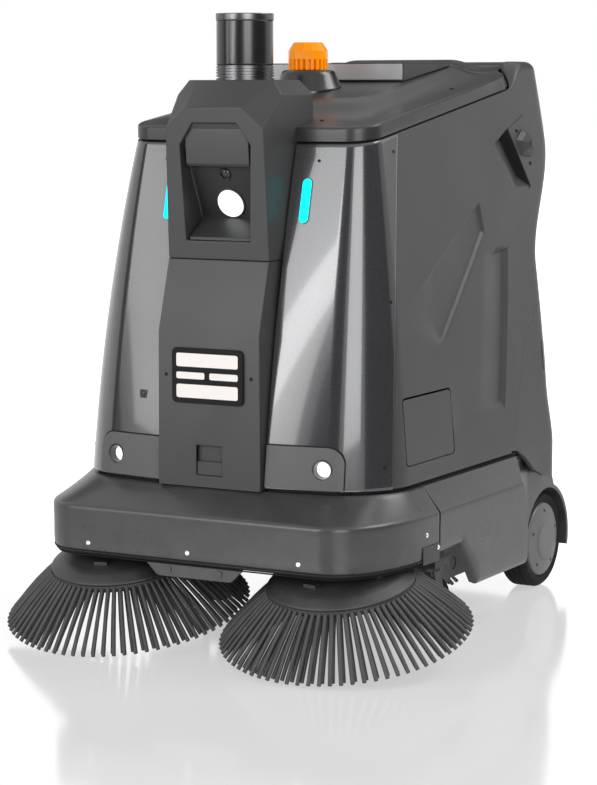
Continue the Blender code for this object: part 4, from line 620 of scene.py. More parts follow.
def softened(name, node, look, slot, width, on="machine", cuts=()):
    """A copy of a CAD node with its flat faces joined, cuts made and its edges bevelled by a width."""
    shape = bmesh.new()
    shape.from_mesh(NODES[node].data)
    bmesh.ops.remove_doubles(shape, verts=shape.verts[:], dist=1e-5)
    flat = math.radians(1.0)
    bmesh.ops.dissolve_limit(shape, angle_limit=flat, verts=shape.verts[:], edges=shape.edges[:])
    shape.verts.index_update()
    points = np.array([v.co[:] for v in shape.verts])
    faces = [[v.index for v in f.verts] for f in shape.faces]
    shape.free()
    return piece(name, [(points, faces)], look, slot, on, (node,), bevel=width, sharp=30.0, cuts=cuts)


def block(low, high):
    """A box between two corners."""
    outline = [(low[0], low[1]), (high[0], low[1]), (high[0], high[1]), (low[0], high[1])]
    return prism(outline, "Z", low[2], high[2])


def evenly(line, count):
    """A line sampled again at even steps of its length."""
    steps = np.linalg.norm(np.diff(line, axis=0), axis=1)
    gone = np.concatenate([[0.0], np.cumsum(steps)])
    at = np.linspace(0.0, gone[-1], count)
    return np.stack([np.interp(at, gone, line[:, k]) for k in range(line.shape[1])], axis=1)


def plan_out(line):
    """Level outward normals (ty, -tx) along a plan line."""
    t = np.gradient(line, axis=0)
    t /= np.linalg.norm(t, axis=1, keepdims=True)
    return np.stack([t[:, 1], -t[:, 0]], axis=1)


def bead(line, out, z, radius):
    """A thin round bead along a plan line at a height: line + r (cos a out - sin a up)."""
    a = circle(8)[None, :]
    flat = line[:, None, :] + radius * np.cos(a)[..., None] * out[:, None, :]
    return tube(xyz(flat[..., 0], flat[..., 1], z - radius * np.sin(a)))


def screw(spot, out, radius):
    """A small round screw with a socket, set on a spot that faces the way out."""
    shares = ((1.0, -0.002), (1.0, 0.0006), (0.8, 0.0014), (0.5, 0.0014), (0.42, 0.0002), (0.1, 0.0002))
    return disc(spot, out, [(share * radius, height) for share, height in shares], 16)


def dot(spot, out, radius, rise, top, crown, sunk=0.001, segments=16):
    """A small round mark: its side reaches up to a rise, its smaller top lies at the crown."""
    return disc(spot, out, [(radius, -sunk), (radius, rise), (top, crown)], segments)


def lipped(points, normals, edges):
    """A grid whose named edges (b, t, l, r) roll in by the seam's radius, then go in by the lip's depth."""
    steps = ((0.7, 0.3), (1.0, 1.0), (1.0, LIP / SEAM))
    for edge in edges:
        axis = 0 if edge in "bt" else 1
        ends = (-1, -2) if edge in "tr" else (0, 1)
        rim, near = (np.take(points, e, axis) for e in ends)
        out = np.take(normals, ends[0], axis)
        along = rim - near
        along /= np.maximum(np.linalg.norm(along, axis=-1, keepdims=True), 1e-9)
        lines = [np.expand_dims(rim + SEAM * (a * along - d * out), axis) for a, d in steps]
        outs = [np.expand_dims(out, axis)] * LIP_ROWS
        if edge in "tr":
            points = np.concatenate([points] + lines, axis)
            normals = np.concatenate([normals] + outs, axis)
        else:
            points = np.concatenate(lines[::-1] + [points], axis)
            normals = np.concatenate(outs + [normals], axis)
    return points


def fillet(corners, radius, steps, closed=False):
    """A line whose corners are replaced by parabolic arcs that start a radius away from each corner."""
    corners = np.asarray(corners, float)
    radii = np.broadcast_to(np.asarray(radius, float), (len(corners),))
    made = []
    share = np.linspace(0.0, 1.0, steps)[:, None]
    for i, here in enumerate(corners):
        if not closed and i in (0, len(corners) - 1):
            made.append(here[None])
            continue
        before = corners[i - 1]
        after = corners[(i + 1) % len(corners)]
        reach = [min(radii[i], 0.48 * np.linalg.norm(p - here)) for p in (before, after)]
        a = here + (before - here) / np.linalg.norm(before - here) * reach[0]
        b = here + (after - here) / np.linalg.norm(after - here) * reach[1]
        made.append(mix(mix(a, here, share), mix(here, b, share), share))
    return np.concatenate(made)


def round_box(x0, z0, x1, z1, radius, steps):
    """Closed outline of a rectangle with round corners."""
    return fillet([(x0, z0), (x1, z0), (x1, z1), (x0, z1)], radius, steps, True)


def turned(profile, segments, axis="Z", centre=(0.0, 0.0, 0.0), close=True):
    """A profile of (radius, height) rows carried round an axis: (r cos a, r sin a, h)."""
    profile = np.asarray(profile, float)
    turn = circle(segments)[None, :]
    across = profile[:, :1] * np.cos(turn)
    up = profile[:, :1] * np.sin(turn)
    high = profile[:, 1:]
    order = {"X": (high, across, up), "Y": (up, high, across), "Z": (across, up, high)}
    return tube(xyz(*order[axis]) + np.asarray(centre), close, close)


def looped(profile, segments, axis="Z", centre=(0.0, 0.0, 0.0)):
    """A closed profile carried round an axis, with no flat ends."""
    return turned(np.concatenate([profile, profile[:1]]), segments, axis, centre, close=False)


def prism(outline, axis, low, high):
    """An outline in the plane across an axis carried from low to high along it, with both ends closed."""
    outline = np.asarray(outline, float)
    slot = "XYZ".index(axis)
    part = tube(np.stack([np.insert(outline, slot, level, axis=1) for level in (low, high)]))
    points = part[0]
    ring = outline - outline.mean(0)
    turn = np.sum(ring[:, 0] * np.roll(ring[:, 1], -1) - ring[:, 1] * np.roll(ring[:, 0], -1))
    outward = (turn > 0) == (axis != "Y")
    return points, part[1] if outward else [face[::-1] for face in part[1]]


def corner_pull(past_a, past_b):
    """Mask of places past both edges of a corner, and the factor that draws them onto a quarter circle."""
    inside = (past_a > 0.0) & (past_b > 0.0)
    far = np.maximum(np.hypot(past_a, past_b), 1e-9)
    return inside, np.where(inside, np.maximum(past_a, past_b) / far, 1.0)


def rounded(half_a, half_b, radius, across, along):
    """Grid of local places (a, b) in a rectangle, pulled so that its corners become quarter circles."""
    a, b = np.meshgrid(np.linspace(-half_a, half_a, across), np.linspace(-half_b, half_b, along))
    past_a = np.abs(a) - (half_a - radius)
    past_b = np.abs(b) - (half_b - radius)
    inside, pull = corner_pull(past_a, past_b)
    a = np.where(inside, np.sign(a) * (half_a - radius + past_a * pull), a)
    b = np.where(inside, np.sign(b) * (half_b - radius + past_b * pull), b)
    return a, b


def oriented(local, spot, out):
    """Points given as (across, up, out) set on a spot that faces the way out."""
    out = np.asarray(out, float) / np.linalg.norm(out)
    across = np.cross((0.0, 0.0, 1.0), out)
    across /= np.linalg.norm(across)
    rise = np.cross(out, across)
    return np.asarray(spot) + local[..., :1] * across + local[..., 1:2] * rise + local[..., 2:] * out


def disc(spot, out, profile, segments):
    """A round knob or lens: a (radius, height) profile turned round the way out of a spot."""
    points, faces = turned(profile, segments)
    return oriented(points, spot, out), faces


# The body wall.


def wall_shape(z):
    """Half width, front, corner, bow, back and rear corner of the outline at heights z."""
    b = body()
    t = np.maximum(0.0, (z - b.foot_z) / (b.shoulder_z - b.foot_z))
    share = LEAN_START * t + (1.0 - LEAN_START) * t * t
    crown = smooth((z - WAIST_Z) / (CROWN_Z - WAIST_Z))
    flare = smooth((REAR_FLARE_Z - z) / (REAR_FLARE_Z - b.foot_z))
    half = mix(b.foot_half, b.shoulder_half, share)
    front = mix(b.foot_front, b.shoulder_front, share)
    corner = mix(FOOT_CORNER, SHOULDER_CORNER, share)
    bow = mix(FOOT_BOW, SHOULDER_BOW, share)
    back = mix(WAIST_Y, CROWN_Y, crown) + REAR_FLARE * flare
    return half, front, corner, bow, back, mix(WAIST_CORNER, CROWN_CORNER, crown)


def wall_xy(u, z):
    """Outline at share u: bowed front y = front + bow x x, round corner, straight side, round rear."""
    half, front, corner, bow, back, rear = wall_shape(z)
    flat = np.clip(u / U_FLAT, 0.0, 1.0)
    turn = np.clip((u - U_FLAT) / (U_CORNER - U_FLAT), 0.0, 1.0) * np.pi / 2.0
    side = np.clip((u - U_CORNER) / (U_SIDE - U_CORNER), 0.0, 1.0)
    bend = np.clip((u - U_SIDE) / (U_REAR - U_SIDE), 0.0, 1.0) * np.pi / 2.0
    tail = np.clip((u - U_REAR) / (1.0 - U_REAR), 0.0, 1.0)
    x = (half - corner) * flat + corner * np.sin(turn)
    y = front + bow * x * x + corner * (1.0 - np.cos(turn))
    y = y + (back - rear - front - corner - bow * half * half) * side + rear * np.sin(bend)
    return x - rear * (1.0 - np.cos(bend)) - (half - rear) * tail, y


def wall_out(u, z):
    """Level outward normal of the wall at share u."""
    step = 0.0015
    x1, y1 = wall_xy(np.minimum(u + step, 1.0), z)
    x0, y0 = wall_xy(np.maximum(u - step, 0.0), z)
    size = np.hypot(x1 - x0, y1 - y0)
    return xyz((y1 - y0) / size, (x0 - x1) / size, 0.0)


def share_at(y, z):
    """Share u at which the wall passes a given y, found by halving."""
    low = 0.0 * z
    high = low + U_REAR
    for _ in range(34):
        middle = 0.5 * (low + high)
        short = wall_xy(middle, z)[1] < y
        low = np.where(short, middle, low)
        high = np.where(short, high, middle)
    return 0.5 * (low + high)


def wall_at(y, z):
    """Points and outward normals on the right side of the wall at given y and z."""
    u = share_at(y, z)
    x, y = wall_xy(u, z)
    return xyz(x, y, z), wall_out(u, z)


def front_at(x, z):
    """Points and outward normals on the front of the wall at given x and z."""
    half, _, corner = wall_shape(z)[:3]
    flat = U_FLAT * x / (half - corner)
    turn = np.arcsin(np.clip((x - half + corner) / corner, 0.0, 1.0))
    u = np.where(x < half - corner, flat, U_FLAT + (U_CORNER - U_FLAT) * turn / (np.pi / 2.0))
    x, y = wall_xy(u, z)
    return xyz(x, y, z), wall_out(u, z)


def front_seam(z):
    """Y of the seam between a front shell and a side panel."""
    b = body()
    t = (z - b.foot_z) / (b.shoulder_z - b.foot_z)
    return mix(FRONT_SEAM_FOOT_Y, FRONT_SEAM_TOP_Y, SEAM_START * t + (1.0 - SEAM_START) * t * t)


def lid_under(y):
    """Height of the lid's lower edge: a plane that rises to the rear."""
    return LID_FRONT_Z + LID_SLOPE * (y - body().shoulder_front)


def lid_top(y):
    """Height of the raised middle of the lid."""
    return lid_under(y) + LID_RIM + LID_CROWN


def hoop_share(y):
    """How far the hoop has risen beside the lid."""
    return smooth((y - REAR_SEAM_Y) / HOOP_RISE)


def hoop_inset(y):
    """Distance from the body's outline to the lid's edge beside the hoop."""
    start = WALL + LID_SEAM
    return start * smooth((y - REAR_SEAM_Y) / LID_STEP + 1.0) + (HOOP_WIDTH - start) * hoop_share(y)


def wall_sheet(first, last, bottom, top, rows, columns):
    """Grid on the wall between two shares first(z) and last(z) and two heights bottom(y) and top(y)."""
    level = np.linspace(0.0, 1.0, rows)[:, None]
    share = np.linspace(0.0, 1.0, columns)[None, :]
    z = mix(body().foot_z, body().shoulder_z, level) + 0.0 * share
    for _ in range(5):
        u = mix(first(z), last(z), share)
        x, y = wall_xy(u, z)
        z = mix(bottom(y), top(y), level)
    return xyz(x, y, z), wall_out(u, z)


def spine_gap(z):
    """Share u at which a front shell starts beside the spine and the head."""
    half, _, corner = wall_shape(z)[:3]
    edge = np.interp(z, (SPINE_BREAK_Z, mix(SPINE_BREAK_Z, SPINE_TOP_Z, 0.5)), (SPINE_HALF, HEAD_HALF))
    return U_FLAT * (edge + 2.0 * SEAM) / (half - corner)


def edges_of(corners, y, z):
    """For each edge of a polygon: distances of places to its left, along it, and its length."""
    ring = np.array(corners)
    for a, b in zip(ring, np.roll(ring, -1, axis=0)):
        long = np.linalg.norm(b - a)
        t = (b - a) / long
        yield t[0] * (z - a[1]) - t[1] * (y - a[0]), t[0] * (y - a[0]) + t[1] * (z - a[1]), long


def pressed(y, z):
    """Depth of the pressed folds, which drop over their slopes and ease out, and of the slanted scoop."""
    total = 0.0 * y
    for corners, slopes, stops, holds, depth, fade in FOLDS:
        drop = 1.0 + 0.0 * y
        left = 1.0 + 0.0 * y
        for (away, along, long), slope, stop, hold in zip(edges_of(corners, y, z), slopes, stops, holds):
            drop = np.minimum(drop, smooth(away / slope))
            past = np.maximum(np.maximum(-along, along - long), 0.0) / (stop + 0.8 * np.maximum(away, 0.0))
            left = left * (1.0 - hold * (1.0 - smooth((away - slope) / fade)) * (1.0 - smooth(past)))
        total = total + depth * drop * (1.0 - left)
    corners, slopes, depth = SEAT
    drop = [np.clip(d / w, 0.0, 1.0) for (d, _, _), w in zip(edges_of(corners, y, z), slopes)]
    return total + depth * np.minimum.reduce(drop)


def hatch_pull(y, z):
    """Places near the hatch hole pulled so that the hole's corners become round."""
    middle = (0.5 * (HATCH_FRONT_Y + HATCH_REAR_Y), 0.5 * (HATCH_LOW_Z + HATCH_TOP_Z))
    half = (0.5 * (HATCH_REAR_Y - HATCH_FRONT_Y) + HATCH_GAP, 0.5 * (HATCH_TOP_Z - HATCH_LOW_Z) + HATCH_GAP)
    a, b = y - middle[0], z - middle[1]
    past_a = np.abs(a) - (half[0] - HATCH_ROUND)
    past_b = np.abs(b) - (half[1] - HATCH_ROUND)
    most = np.maximum(past_a, past_b)
    near = (past_a > 0.0) & (past_b > 0.0) & (most < 3.0 * HATCH_ROUND)
    pull = most / np.maximum(np.hypot(past_a, past_b), 1e-9)
    pull = mix(pull, 1.0, smooth((most / HATCH_ROUND - 1.0) / 2.0))
    a = np.where(near, np.sign(a) * (half[0] - HATCH_ROUND + past_a * pull), a)
    b = np.where(near, np.sign(b) * (half[1] - HATCH_ROUND + past_b * pull), b)
    return middle[0] + a, middle[1] + b


def panel_top(y):
    """Height of the side panel's upper edge, which rises into the hoop."""
    return mix(lid_under(y) - LID_GAP, HOOP_TOP_Z, hoop_share(y))


def panel_roll(y):
    """Radius of the roll along the side panel's upper edge."""
    return mix(PANEL_ROUND, HOOP_ROUND, hoop_share(y))


def rolled_rim(edge, way):
    """Rows that roll over the side panel's upper edge, cross the hoop and go down beside the lid."""
    share = hoop_share(edge[:, 1])
    roll = panel_roll(edge[:, 1])
    width = np.maximum(hoop_inset(edge[:, 1]) - LID_SEAM, 0.006)
    inner = np.minimum(mix(0.001, 0.008, share), 0.4 * (width - roll) + 0.0005)
    crest = edge[:, 2] + roll
    rim = []
    for a in np.linspace(0.2, np.pi / 2.0, 8):
        rim.append((roll * (1.0 - np.cos(a)), crest - roll + roll * np.sin(a)))
    rim += [(mix(roll, width - inner, s), crest) for s in (0.3, 0.65, 0.98)]
    for a in (0.3, 0.8, 1.2, 1.57):
        rim.append((width - inner * (1.0 - np.sin(a)), crest - inner * (1.0 - np.cos(a))))
    rim.append((width, mix(crest - 0.006, lid_under(edge[:, 1]) - 0.004, share)))
    return np.array([xyz(*(edge - inset[:, None] * way).T[:2], high) for inset, high in rim])


def side_body():
    """Right side panel and half the hoop as a grid, then its part on the wall and that part's normals."""
    b = body()
    front, rear = HATCH_FRONT_Y - HATCH_GAP, HATCH_REAR_Y + HATCH_GAP
    low, high = HATCH_LOW_Z - HATCH_GAP, HATCH_TOP_Z + HATCH_GAP
    spans = [np.linspace(0.0, 1.0, n, endpoint=i == 3)[None, :] for i, n in enumerate(SIDE_COLUMNS)]
    levels = [np.linspace(0.0, 1.0, n, endpoint=i == 2)[:, None] for i, n in enumerate(SIDE_ROWS)]
    rows = sum(SIDE_ROWS)
    edges = np.cumsum((0,) + SIDE_COLUMNS[:3])
    below, above = np.cumsum(SIDE_ROWS)[:2]
    z = np.linspace(b.foot_z, b.shoulder_z, rows)[:, None] + np.zeros((1, sum(SIDE_COLUMNS)))
    for _ in range(6):
        c = z[:, :edges[-1]]
        climb = np.maximum(0.0, front_seam(c) - front_seam(high))
        ends = [front_seam(c) + SEAM, front + climb, rear + 0.6 * climb, wall_xy(U_SIDE + 0.0 * c, c)[1]]
        y = []
        for i, (p, q) in enumerate(zip(edges, edges[1:])):
            y.append(mix(ends[i][:, p:q], ends[i + 1][:, p:q], spans[i]))
        u = share_at(np.concatenate(y, axis=1), c)
        u = np.concatenate([u, U_SIDE + (1.0 - U_SIDE) * spans[3] + np.zeros((rows, 1))], axis=1)
        x, y = wall_xy(u, z)
        top = panel_top(y) - panel_roll(y)
        base = np.concatenate([mix(b.foot_z, low, levels[0]) + 0.0 * y[:below],
                               mix(low, high, levels[1]) + 0.0 * y[below:above],
                               mix(high, top[above:], levels[2])])
        foot = np.interp(y, DOOR_Y, DOOR_Z) + SEAM
        z = foot + (base - b.foot_z) * (top - foot) / (top - b.foot_z)
    flat_y, flat_z = hatch_pull(y, z)
    side = u < U_SIDE
    u = np.where(side, share_at(np.where(side, flat_y, y), flat_z), u)
    z = np.where(side, flat_z, z)
    x, y = wall_xy(u, z)
    out = wall_out(u, z)
    points = xyz(x, y, z) - (pressed(y, z) * (out[..., 0] > 0.4))[..., None] * out
    rim = rolled_rim(points[-1], out[-1])
    ways = np.concatenate([out, np.repeat(out[-1:], len(rim), axis=0)])
    return lipped(np.concatenate([points, rim]), ways, "bl"), points, out


def hatch_collar(points, out):
    """Edge of the hatch hole: its outline carried inwards along the wall's normals."""
    p, r = SIDE_COLUMNS[0], SIDE_ROWS[0]
    q, s = p + SIDE_COLUMNS[1], r + SIDE_ROWS[1]
    ring = [(slice(r, r + 1), slice(p, q)), (slice(r, s), slice(q, q + 1))]
    ring += [(slice(s, s + 1), slice(q, p, -1)), (slice(s, r, -1), slice(p, p + 1))]
    line = np.concatenate([points[i, j].reshape(-1, 3) for i, j in ring])
    ways = np.concatenate([out[i, j].reshape(-1, 3) for i, j in ring])
    loops = np.stack([line, line - 0.0015 * ways, line - 0.007 * ways])
    spots, faces = tube(loops, False, False)
    return spots, [face[::-1] for face in faces]


def rear_door():
    """Right half of the lower rear: a wall grid below the door seam, drawn down over the fender."""
    level = np.linspace(0.0, 1.0, DOOR_ROWS)[:, None]
    side = np.linspace(0.0, 1.0, DOOR_SIDE_COLUMNS, endpoint=False)[None, :]
    rear = np.linspace(0.0, 1.0, DOOR_REAR_COLUMNS)[None, :]
    z = mix(0.30, 0.60, level) + np.zeros((1, DOOR_SIDE_COLUMNS + DOOR_REAR_COLUMNS))
    for _ in range(6):
        c = z[:, :DOOR_SIDE_COLUMNS]
        u = share_at(mix(DOOR_Y[0] + 0.004, wall_xy(U_SIDE + 0.0 * c, c)[1], side), c)
        u = np.concatenate([u, U_SIDE + (1.0 - U_SIDE) * rear + 0.0 * level], axis=1)
        x, y = wall_xy(u, z)
        low = np.interp(y, DOOR_FOOT_Y, DOOR_FOOT_Z)
        foot = mix(low, body().foot_z + 0.004, smooth((0.275 - x) / 0.05))
        z = mix(foot, np.maximum(np.interp(y, DOOR_Y, DOOR_Z) - 2.0 * SEAM, foot + 0.0005), level)
    return lipped(xyz(x, y, z), wall_out(u, z), "btl")


class CLEANER_OT_shells(bpy.types.Operator):
    """Make the two glossy front shells and the dark strips behind the body's seams."""

    bl_idname = "cleaner.shells"
    bl_label = "Front shells"

    def execute(self, context):
        def foot(y):
            return body().foot_z + 0.0 * y

        def beside_seam(shift):
            return lambda z: share_at(front_seam(z) + shift, z)

        def below_lid(drop):
            return lambda y: lid_under(y) - drop

        points, out = wall_sheet(spine_gap, beside_seam(-SEAM), foot, below_lid(LID_GAP + SEAM), 120, 150)
        light = front_at(HEADLIGHT_X, HEADLIGHT_Z)[0]
        points = lipped(points, out, "btlr")
        clear = np.linalg.norm(points - light, axis=-1) > HEADLIGHT_R + 0.006
        shell = sheet(points, clear[1:, 1:] & clear[:-1, 1:] & clear[1:, :-1] & clear[:-1, :-1])
        strips = []
        for bounds in ((beside_seam(-STRIP_HALF), beside_seam(STRIP_HALF), foot, below_lid(0.004), 40, 4),
                       (lambda z: 0.02 + 0.0 * z, lambda z: share_at(REAR_SEAM_Y + 0.0 * z, z),
                        below_lid(0.02), below_lid(-0.004), 4, 90)):
            points, out = wall_sheet(*bounds)
            strips.append(sheet(points - STRIP_DEPTH * out))
        pair("_shell_gloss", [shell], "gloss_graphite", "graphite_gloss", "_front_shell")
        pair("_seam_strip", strips, "seam_and_shade_black", "seal_rubber", thick=0.002)
        return {"FINISHED"}


class CLEANER_OT_panels(bpy.types.Operator):
    """Make the side panels that run into the rear hoop, the rear door below it, and black patches of painted
    shade for the notches on its edges.
    """

    bl_idname = "cleaner.panels"
    bl_label = "Side panels and rear"

    def execute(self, context):
        whole, points, out = side_body()
        keep = np.ones((whole.shape[0] - 1, whole.shape[1] - 1), bool)
        row, column = SIDE_ROWS[0] + LIP_ROWS, SIDE_COLUMNS[0] + LIP_ROWS
        keep[row:row + SIDE_ROWS[1], column:column + SIDE_COLUMNS[1]] = False
        right = [sheet(whole, keep), hatch_collar(points, out)]
        for word, parts in (("right", right), ("left", [mirrored(sheet(whole))])):
            piece(word + "_panel_skin", parts, "moulded_grey", "moulded_grey",
                  stands_for=(word + "_side_panel", "rear_shell"))
        door = sheet(rear_door())
        piece("rear_door", [door, mirrored(door)], "moulded_grey", "moulded_grey", stands_for=("rear_shell",))
        # Painted shade: a thin glossy black patch on the wall stands for the shade inside the notch on the
        # door's edge.
        a, c = rounded(0.010, 0.030, 0.010, 9, 30)
        points, out = wall_at(REAR_SLOT_Y + a, REAR_SLOT_Z + c)
        slot = sheet(points + 0.0008 * out)
        piece("rear_notch_painted_shade", [slot, mirrored(slot)], "black_plastic", "dark_plastic", thick=0.0012)
        return {"FINISHED"}


class CLEANER_OT_hatch(bpy.types.Operator):
    """Make the side hatch with its round corners, hung on its own body."""

    bl_idname = "cleaner.hatch"
    bl_label = "Side hatch"

    def execute(self, context):
        inset = 0.0014
        half_y, half_z = 0.5 * (HATCH_REAR_Y - HATCH_FRONT_Y), 0.5 * (HATCH_TOP_Z - HATCH_LOW_Z)
        a, b = rounded(half_y - inset, half_z - inset, HATCH_ROUND, 60, 40)
        points = wall_at(HATCH_FRONT_Y + half_y + a, HATCH_LOW_Z + half_z + b)[0]
        piece("hatch_leaf", [sheet(points)], "moulded_grey", "moulded_grey", "hatch", ("side_hatch",),
              thick=0.003, bevel=0.0007)
        dress("dark_plastic", "hatch_tray")
        return {"FINISHED"}


class CLEANER_OT_lid(bpy.types.Operator):
    """Make the inclined lid: rings of its outline drawn in and raised by a soft profile."""

    bl_idname = "cleaner.lid"
    bl_label = "Lid"

    def execute(self, context):
        u = np.linspace(0.0, 1.0, 241)
        z = lid_under(np.linspace(body().shoulder_front, CROWN_Y, 241))
        for _ in range(8):
            x, y = wall_xy(u, z)
            z = lid_under(y)
        right = xyz(x, y, z) - hoop_inset(y)[:, None] * wall_out(u, z)
        rim = np.concatenate([right[:-1], right[:0:-1] * (-1.0, 1.0, 1.0)])
        middle = np.array([0.0, LID_CENTRE_Y, 0.0])
        draft = mix(1.0, LID_DRAFT, smooth((rim[:, 1:2] - LID_DRAFT_Y) / (REAR_SEAM_Y - LID_DRAFT_Y)))
        wide = body().shoulder_half
        # Rows of the section: share of the outline, height over its plane, share of the draft.
        rows = [(1.0 - 0.008 / wide, 0.0008, 0.0), (1.0 - 0.001 / wide, 0.0008, 0.0), (1.0, 0.002, 0.05),
                (1.0, 0.012, 0.5), (1.0, LID_RIM - 0.006, 1.0)]
        for turn in np.linspace(0.25, np.pi / 2.0, 6):
            inset = LID_ROUND * (1.0 - np.cos(turn))
            rows.append((1.0 - inset / wide, LID_RIM - LID_ROUND + LID_ROUND * np.sin(turn), 1.0))
        crown = fillet([(1.0 - 0.006 / wide, LID_RIM), (LID_FLANGE_SHARE, LID_RIM + 0.18 * LID_CROWN),
                        (LID_CROWN_SHARE + 0.02, LID_RIM + LID_CROWN), (0.02, LID_RIM + LID_CROWN)],
                       (0.0, 0.07, 0.06, 0.0), 9)
        rows += [(share, height, float(share > LID_DRAFT_SHARE)) for share, height in crown]
        loops = []
        for share, height, drawn in rows:
            loop = middle + (rim - middle) * (share * mix(1.0, draft, drawn))
            loop[:, 2] = lid_under(loop[:, 1]) + height
            loops.append(loop)
        piece("lid_skin", [tube(np.array(loops))], "satin_graphite", "graphite_satin",
              stands_for=("top_lid",))
        return {"FINISHED"}


class CLEANER_OT_brushes(bpy.types.Operator):
    """Make the side brushes: two rows of round strands on a ring, and the cone above them."""

    bl_idname = "cleaner.brushes"
    bl_label = "Side brushes"

    def execute(self, context):
        s = context.scene.cleaner_brush
        edge = s.root_r - 0.001
        rows = ((edge, 0.0895, s.tip_r, 0.0008), (s.root_r - 0.010, 0.0835, s.tip_r - 0.010, 0.0008))
        parts = [self.strand_row(s, number, row) for number, row in enumerate(rows)]
        ring = fillet([(0.066, 0.080), (s.root_r - 0.006, 0.080), (edge, 0.087), (edge, 0.094),
                       (0.066, 0.094)], 0.002, 3)
        parts.append(looped(ring, 96))
        cone = fillet([(0.0637, 0.084), (0.0637, 0.0943), (edge, 0.0943), (s.root_r + 0.001, 0.0975),
                       (edge, 0.1000), (0.114, 0.1110), (0.106, 0.1148), (0.060, 0.1270), (0.042, 0.1306)],
                      0.002, 4)
        hub = [turned(cone, 96)]
        post = np.array([(0.076, -0.0125), (0.091, -0.0125), (0.091, 0.0125), (0.076, 0.0125)])
        for turn in np.radians((-98.0, -8.0, 82.0, 172.0)):
            c, t = math.cos(turn), math.sin(turn)
            hub.append(prism(post @ np.array([[c, t], [-t, c]]), "Z", 0.110, 0.1255))
        c, t = math.cos(s.tilt), math.sin(s.tilt)
        lean = np.array([[1.0, 0.0, 0.0], [0.0, c, -t], [0.0, t, c]])
        spot = (s.centre_x, s.centre_y, s.centre_z)

        def placed(group):
            return [(points @ lean.T + spot, faces) for points, faces in group]

        pair("_brush_strands", placed(parts), "bristle", "bristle", "_bristles", "_brush", sharp=50.0)
        pair("_brush_cone", placed(hub), "dark_plastic", "dark_plastic", "_brush_hub", "_brush")
        dress("painted_steel", "left_brush_arm", "right_brush_arm")
        return {"FINISHED"}

    def strand_row(self, s, number, row):
        """One row of strands from its roots to its tips, slightly bowed and unevenly spaced."""
        root_r, root_h, tip_r, tip_h = row
        along = np.linspace(0.0, 1.0, 5)[None, :, None]
        face = circle(8)[None, None, :]
        step = 2.0 * np.pi / s.per_row
        strand = np.arange(s.per_row)
        angle_of = ((strand + 0.22 * number) * step + 0.004 * np.sin(7.1 * strand + number))[:, None, None]
        long = np.array([tip_r - root_r, tip_h - root_h])
        size = np.linalg.norm(long)
        side_r, side_h = -long[1] / size, long[0] / size
        uneven = (1.0 + 0.4 * np.sin(3.7 * strand + number))[:, None, None]
        half = 0.5 * s.strand * (1.0 - 0.06 * along)
        lift = 0.0025 * np.sin(np.pi * along) * uneven + half * np.cos(face)
        r = mix(root_r, tip_r, along) + lift * side_r
        h = mix(root_h, tip_h, along) + lift * side_h
        over = half * np.sin(face)
        x = r * np.cos(angle_of) - over * np.sin(angle_of)
        y = r * np.sin(angle_of) + over * np.cos(angle_of)
        return strands(xyz(x, y, h))


# Bumper, skirts and wheels.


def crease_line(count):
    """Plan line of the bumper's crease: straight front, then x = c sin^p t, y = d (1 - cos^p t)."""
    turn = np.linspace(0.0, np.pi / 2.0, 240)
    x = TRIM_HALF - TRIM_CORNER_X + TRIM_CORNER_X * np.sin(turn) ** TRIM_SQUARE
    y = TRIM_FRONT_Y + TRIM_CORNER_Y * (1.0 - np.clip(np.cos(turn), 0.0, 1.0) ** TRIM_SQUARE)
    return evenly(np.stack([np.append(0.0, x), np.append(TRIM_FRONT_Y, y)], axis=1), count)


def foot_line(count):
    """Plan line of the body's foot from the front's middle to the bumper's rear end."""
    z = np.full(400, body().foot_z)
    last = share_at(np.array([SKIRT_SEAM_Y]), z[:1])[0]
    return evenly(np.stack(wall_xy(np.linspace(0.0, last, 400), z), axis=1), count)


def trim_section(crease, out, top, top_out, low):
    """Grid of the trim: up its face from a lower edge, round the crease, along the bevel, in at the top."""
    def spot(line, way, inset, z):
        return xyz(*(line - inset * way).T, z)

    rows = [spot(crease, out, i, low + z) for i, z in
            ((0.022, 0.003), (0.011, 0.0004), (0.0075, 0.0012), (0.0035, 0.005), (0.001, 0.013))]
    rows += [spot(crease, out, 0.0005, mix(low + 0.013, CREASE_Z - 0.016, s)) for s in (0.25, 0.5, 0.75)]
    rows += [spot(crease, out, i, CREASE_Z + z) for i, z in
             ((0.0, -0.016), (0.0, -0.006), (0.0003, -0.0036), (0.0011, -0.0014), (0.0026, 0.0006))]
    edge = spot(top, top_out, -TRIM_REVEAL, TRIM_TOP - 0.0020)
    rows += [mix(rows[-1], edge, s) for s in (0.08, 0.3, 0.55, 0.8, 0.96)]
    rows += [spot(top, top_out, i - TRIM_REVEAL, TRIM_TOP - z) for i, z in ((0.001, 0.0006), (0.0026, 0.0))]
    rows.append(spot(top, top_out, FLANGE, TRIM_TOP))
    return np.array(rows)


def both_ways(grid):
    """A right-hand grid joined at X = 0 to its mirror image."""
    return np.concatenate([grid[:, :0:-1] * (-1.0, 1.0, 1.0), grid], axis=1)


